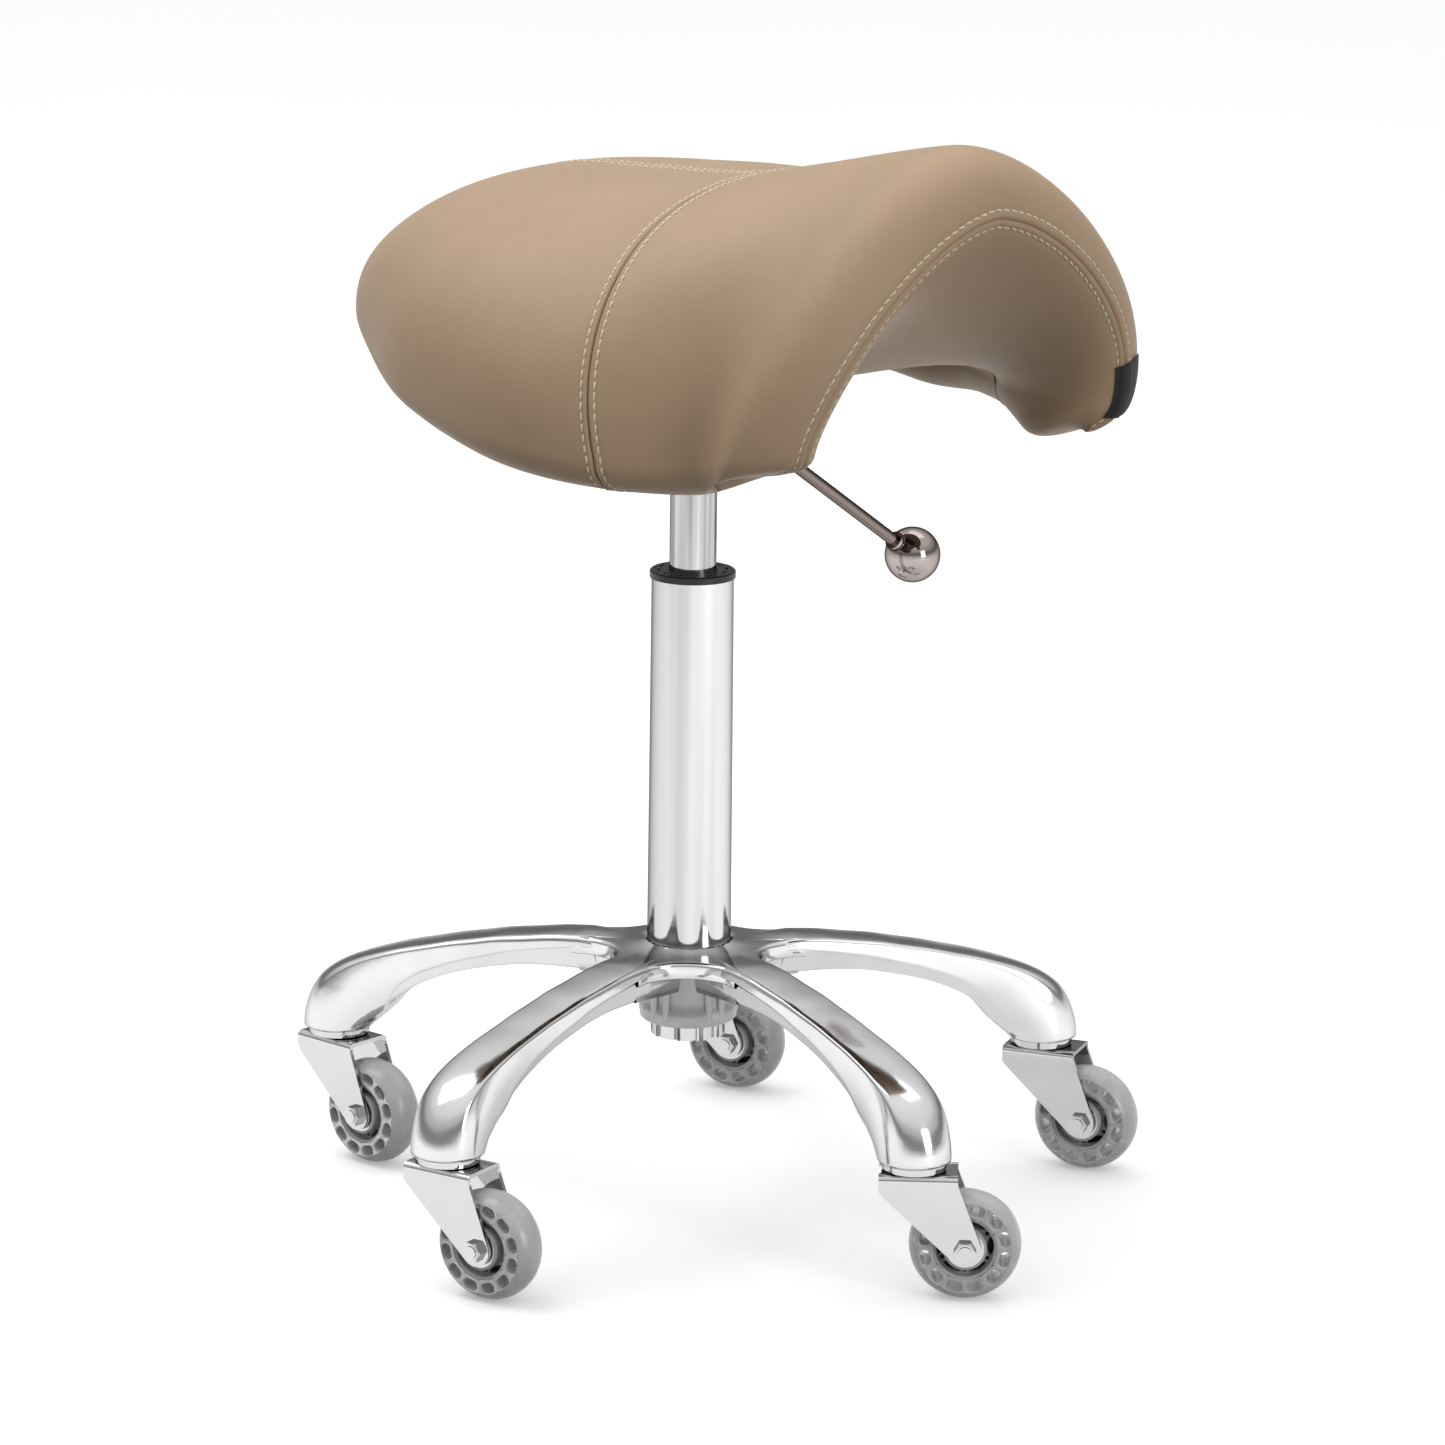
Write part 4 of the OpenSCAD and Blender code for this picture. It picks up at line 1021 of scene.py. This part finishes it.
def caster_frame(k):
    """Swivel point, wheel centre, trail direction and side direction of caster k."""
    swivel = np.array(joint(f"caster_{k}_swivel")["pos_m"]) / MM
    spin = joint(f"wheel_{k}_spin")
    wheel = np.array(spin["pos_m"]) / MM
    axle = np.array(spin["axis"], float)
    along = np.array([-axle[1], axle[0], 0.0])
    return swivel, wheel, along, -axle


def caster_points(points, k):
    """From a caster's local millimetres to metres in the frame."""
    swivel, _, along, side = caster_frame(k)
    p = np.asarray(points, float)
    up = np.array([0, 0, 1.0])
    base = np.array([swivel[0], swivel[1], 0])
    return (base + p[..., :1] * along + p[..., 1:2] * side + p[..., 2:] * up) * MM


def wheel_points(points, k):
    """From a wheel's own frame (x, y in the wheel's plane, z along the axle) to metres."""
    _, wheel, along, side = caster_frame(k)
    p = np.asarray(points, float)
    up = np.array([0, 0, 1.0])
    return (wheel + p[..., :1] * along + p[..., 1:2] * up - p[..., 2:] * side) * MM


def tangent_height(px, pz, centre, r, sign):
    """Where the straight edge from (px, pz) meets the round tip."""
    dx, dz = px - centre[0], pz - centre[1]
    d = math.hypot(dx, dz)
    a = math.atan2(dz, dx) + sign * math.acos(r / d)
    return centre[0] + r * math.cos(a), centre[1] + r * math.sin(a)


def make_fork(k):
    """Pressed sheet: a top plate bent down into two sides that taper to a round tip at the axle."""
    swivel, wheel, _, _ = caster_frame(k)
    tip = (float(np.linalg.norm((wheel - swivel)[:2])), WHEEL_R)

    def side_edge(z, corner, sign):
        """Where the front (sign 1) or back (-1) edge of a side is at height z."""
        x, high = corner
        touch_x, touch_z = tangent_height(x, high, tip, FORK_TIP, sign)
        if z >= high:
            return x
        if z > touch_z:
            return x + (high - z) / (high - touch_z) * (touch_x - x)
        return tip[0] - sign * math.sqrt(max(FORK_TIP**2 - (z - tip[1]) ** 2, 0))

    top, bend = FORK_HALF - FORK_BEND, FORK_BEND
    path = [(y, FORK_TOP) for y in np.linspace(0, top, 6)]
    path += [(top + bend * math.sin(a), FORK_TOP - bend + bend * math.cos(a))
             for a in np.radians(np.linspace(0, 90, 7))[1:]]
    path += [(FORK_HALF, z) for z in np.linspace(FORK_TOP - bend - 1.2, tip[1], 16)]
    path += [(FORK_HALF, tip[1] - FORK_TIP * math.sin(a)) for a in np.radians(np.linspace(4, 89.5, 14))]
    across = np.linspace(0, 1, 15)
    grid = []
    for y, z in path:
        lo, hi = side_edge(z, FORK_FRONT, 1), side_edge(z, FORK_BACK, -1)
        grid.append([(lo + (hi - lo) * t, y, z) for t in across])
    halves = Patches()
    for mirror in (1, -1):
        halves.add(np.array(grid) * [1, mirror, 1], flip=mirror > 0)
    piece = new_piece(f"fork_{k}", caster_points(halves.points, k), halves.faces, MATERIALS["chrome"],
                      f"caster_{k}", "chrome", [f"fork_{k}"])
    weld(piece)
    thicken(piece, SHEET).use_even_offset = True
    edge = soften(piece, 0.45)
    edge.angle_limit = math.radians(50)
    edge.harden_normals = True


def tyre_side():
    """Outline of one hole about its own centre, and the edge of its share of the face about the axle."""
    half = math.pi / HOLES
    count = 28
    slot = []
    for i in range(count):
        a = 2 * math.pi * i / count
        c, s = math.cos(a), math.sin(a)
        shift = (HOLE_LONG / 2) * (1 if c > 0.001 else -1 if c < -0.001 else 0)
        slot.append((shift + HOLE_R * c, HOLE_R * s))
    slot = np.array(slot)
    angle = np.arctan2(slot[:, 1], slot[:, 0])
    outer = []
    for a in angle:
        c, s = math.cos(a), math.sin(a)
        for t in np.linspace(2.5, 12, 500):
            x, y = t * c, HOLE_AT + t * s
            if abs(math.atan2(x, y)) > half or not CORE_R <= math.hypot(x, y) <= FLAT_R:
                break
        r, w = np.clip(math.hypot(x, y), CORE_R, FLAT_R), np.clip(math.atan2(x, y), -half, half)
        outer.append((r * math.sin(w), r * math.cos(w)))
    return slot, np.array(outer)


def make_tyre(k):
    """The tyre with its row of holes, built hole by hole and closed by the tread and the bore."""
    slot, outer = tyre_side()
    centre = np.array([0, HOLE_AT])
    tyre = Patches()
    for h in range(HOLES):
        turn = 2 * math.pi * (h + 0.5) / HOLES
        c, s = math.cos(turn), math.sin(turn)
        rings = []
        for scale, z in HOLE_EDGE:
            rings.append([(*(centre + p * scale), z) for p in slot])
        for t in (0.45, 0.8, 1.0):
            ring = (centre + slot * HOLE_EDGE[-1][0]) * (1 - t) + outer * t
            rings.append([(*p, HALF_WHEEL) for p in ring])
        rings = np.array(rings)
        x, y, z = rings[..., 0], rings[..., 1], rings[..., 2]
        for mirror in (1, -1):
            tyre.add(np.stack([x * c + y * s, -x * s + y * c, z * mirror], -1), True, mirror < 0)
    lim = math.asin(HALF_WHEEL / TREAD_R)
    profile = [(WHEEL_R - TREAD_R + TREAD_R * math.cos(a), TREAD_R * math.sin(a))
               for a in np.linspace(-lim, lim, 27)]
    profile[0], profile[-1] = (FLAT_R, -HALF_WHEEL), (FLAT_R, HALF_WHEEL)
    tyre.add(turned(profile, 144), True)
    bore = [(CORE_R, z) for z in np.linspace(-HALF_WHEEL, HALF_WHEEL, 4)]
    tyre.add(turned(bore, 144), True, True)
    piece = new_piece(f"tyre_{k}", wheel_points(tyre.points, k), tyre.faces, MATERIALS["clear_grey_tyre"],
                      f"wheel_{k}", "clear_grey_tyre", [f"tyre_{k}"])
    weld(piece, 0.00003)


def make_core_back(k):
    """Black web that closes the core's windows half way through."""
    grid = turned(CORE_WEB, 72)
    new_piece(f"core_web_{k}", wheel_points(grid, k), grid_faces(*grid.shape[:2], True, True),
              MATERIALS["black_plastic"], f"wheel_{k}", "grey_plastic")


def make_casters():
    for k in range(1, ARMS + 1):
        make_fork(k)
        make_tyre(k)
        make_core_back(k)


make_camera()
make_world()
make_stage()
MATERIALS = make_materials()
dress_cad_nodes(MATERIALS)
make_seat()
make_star_base()
make_boss()
make_casters()
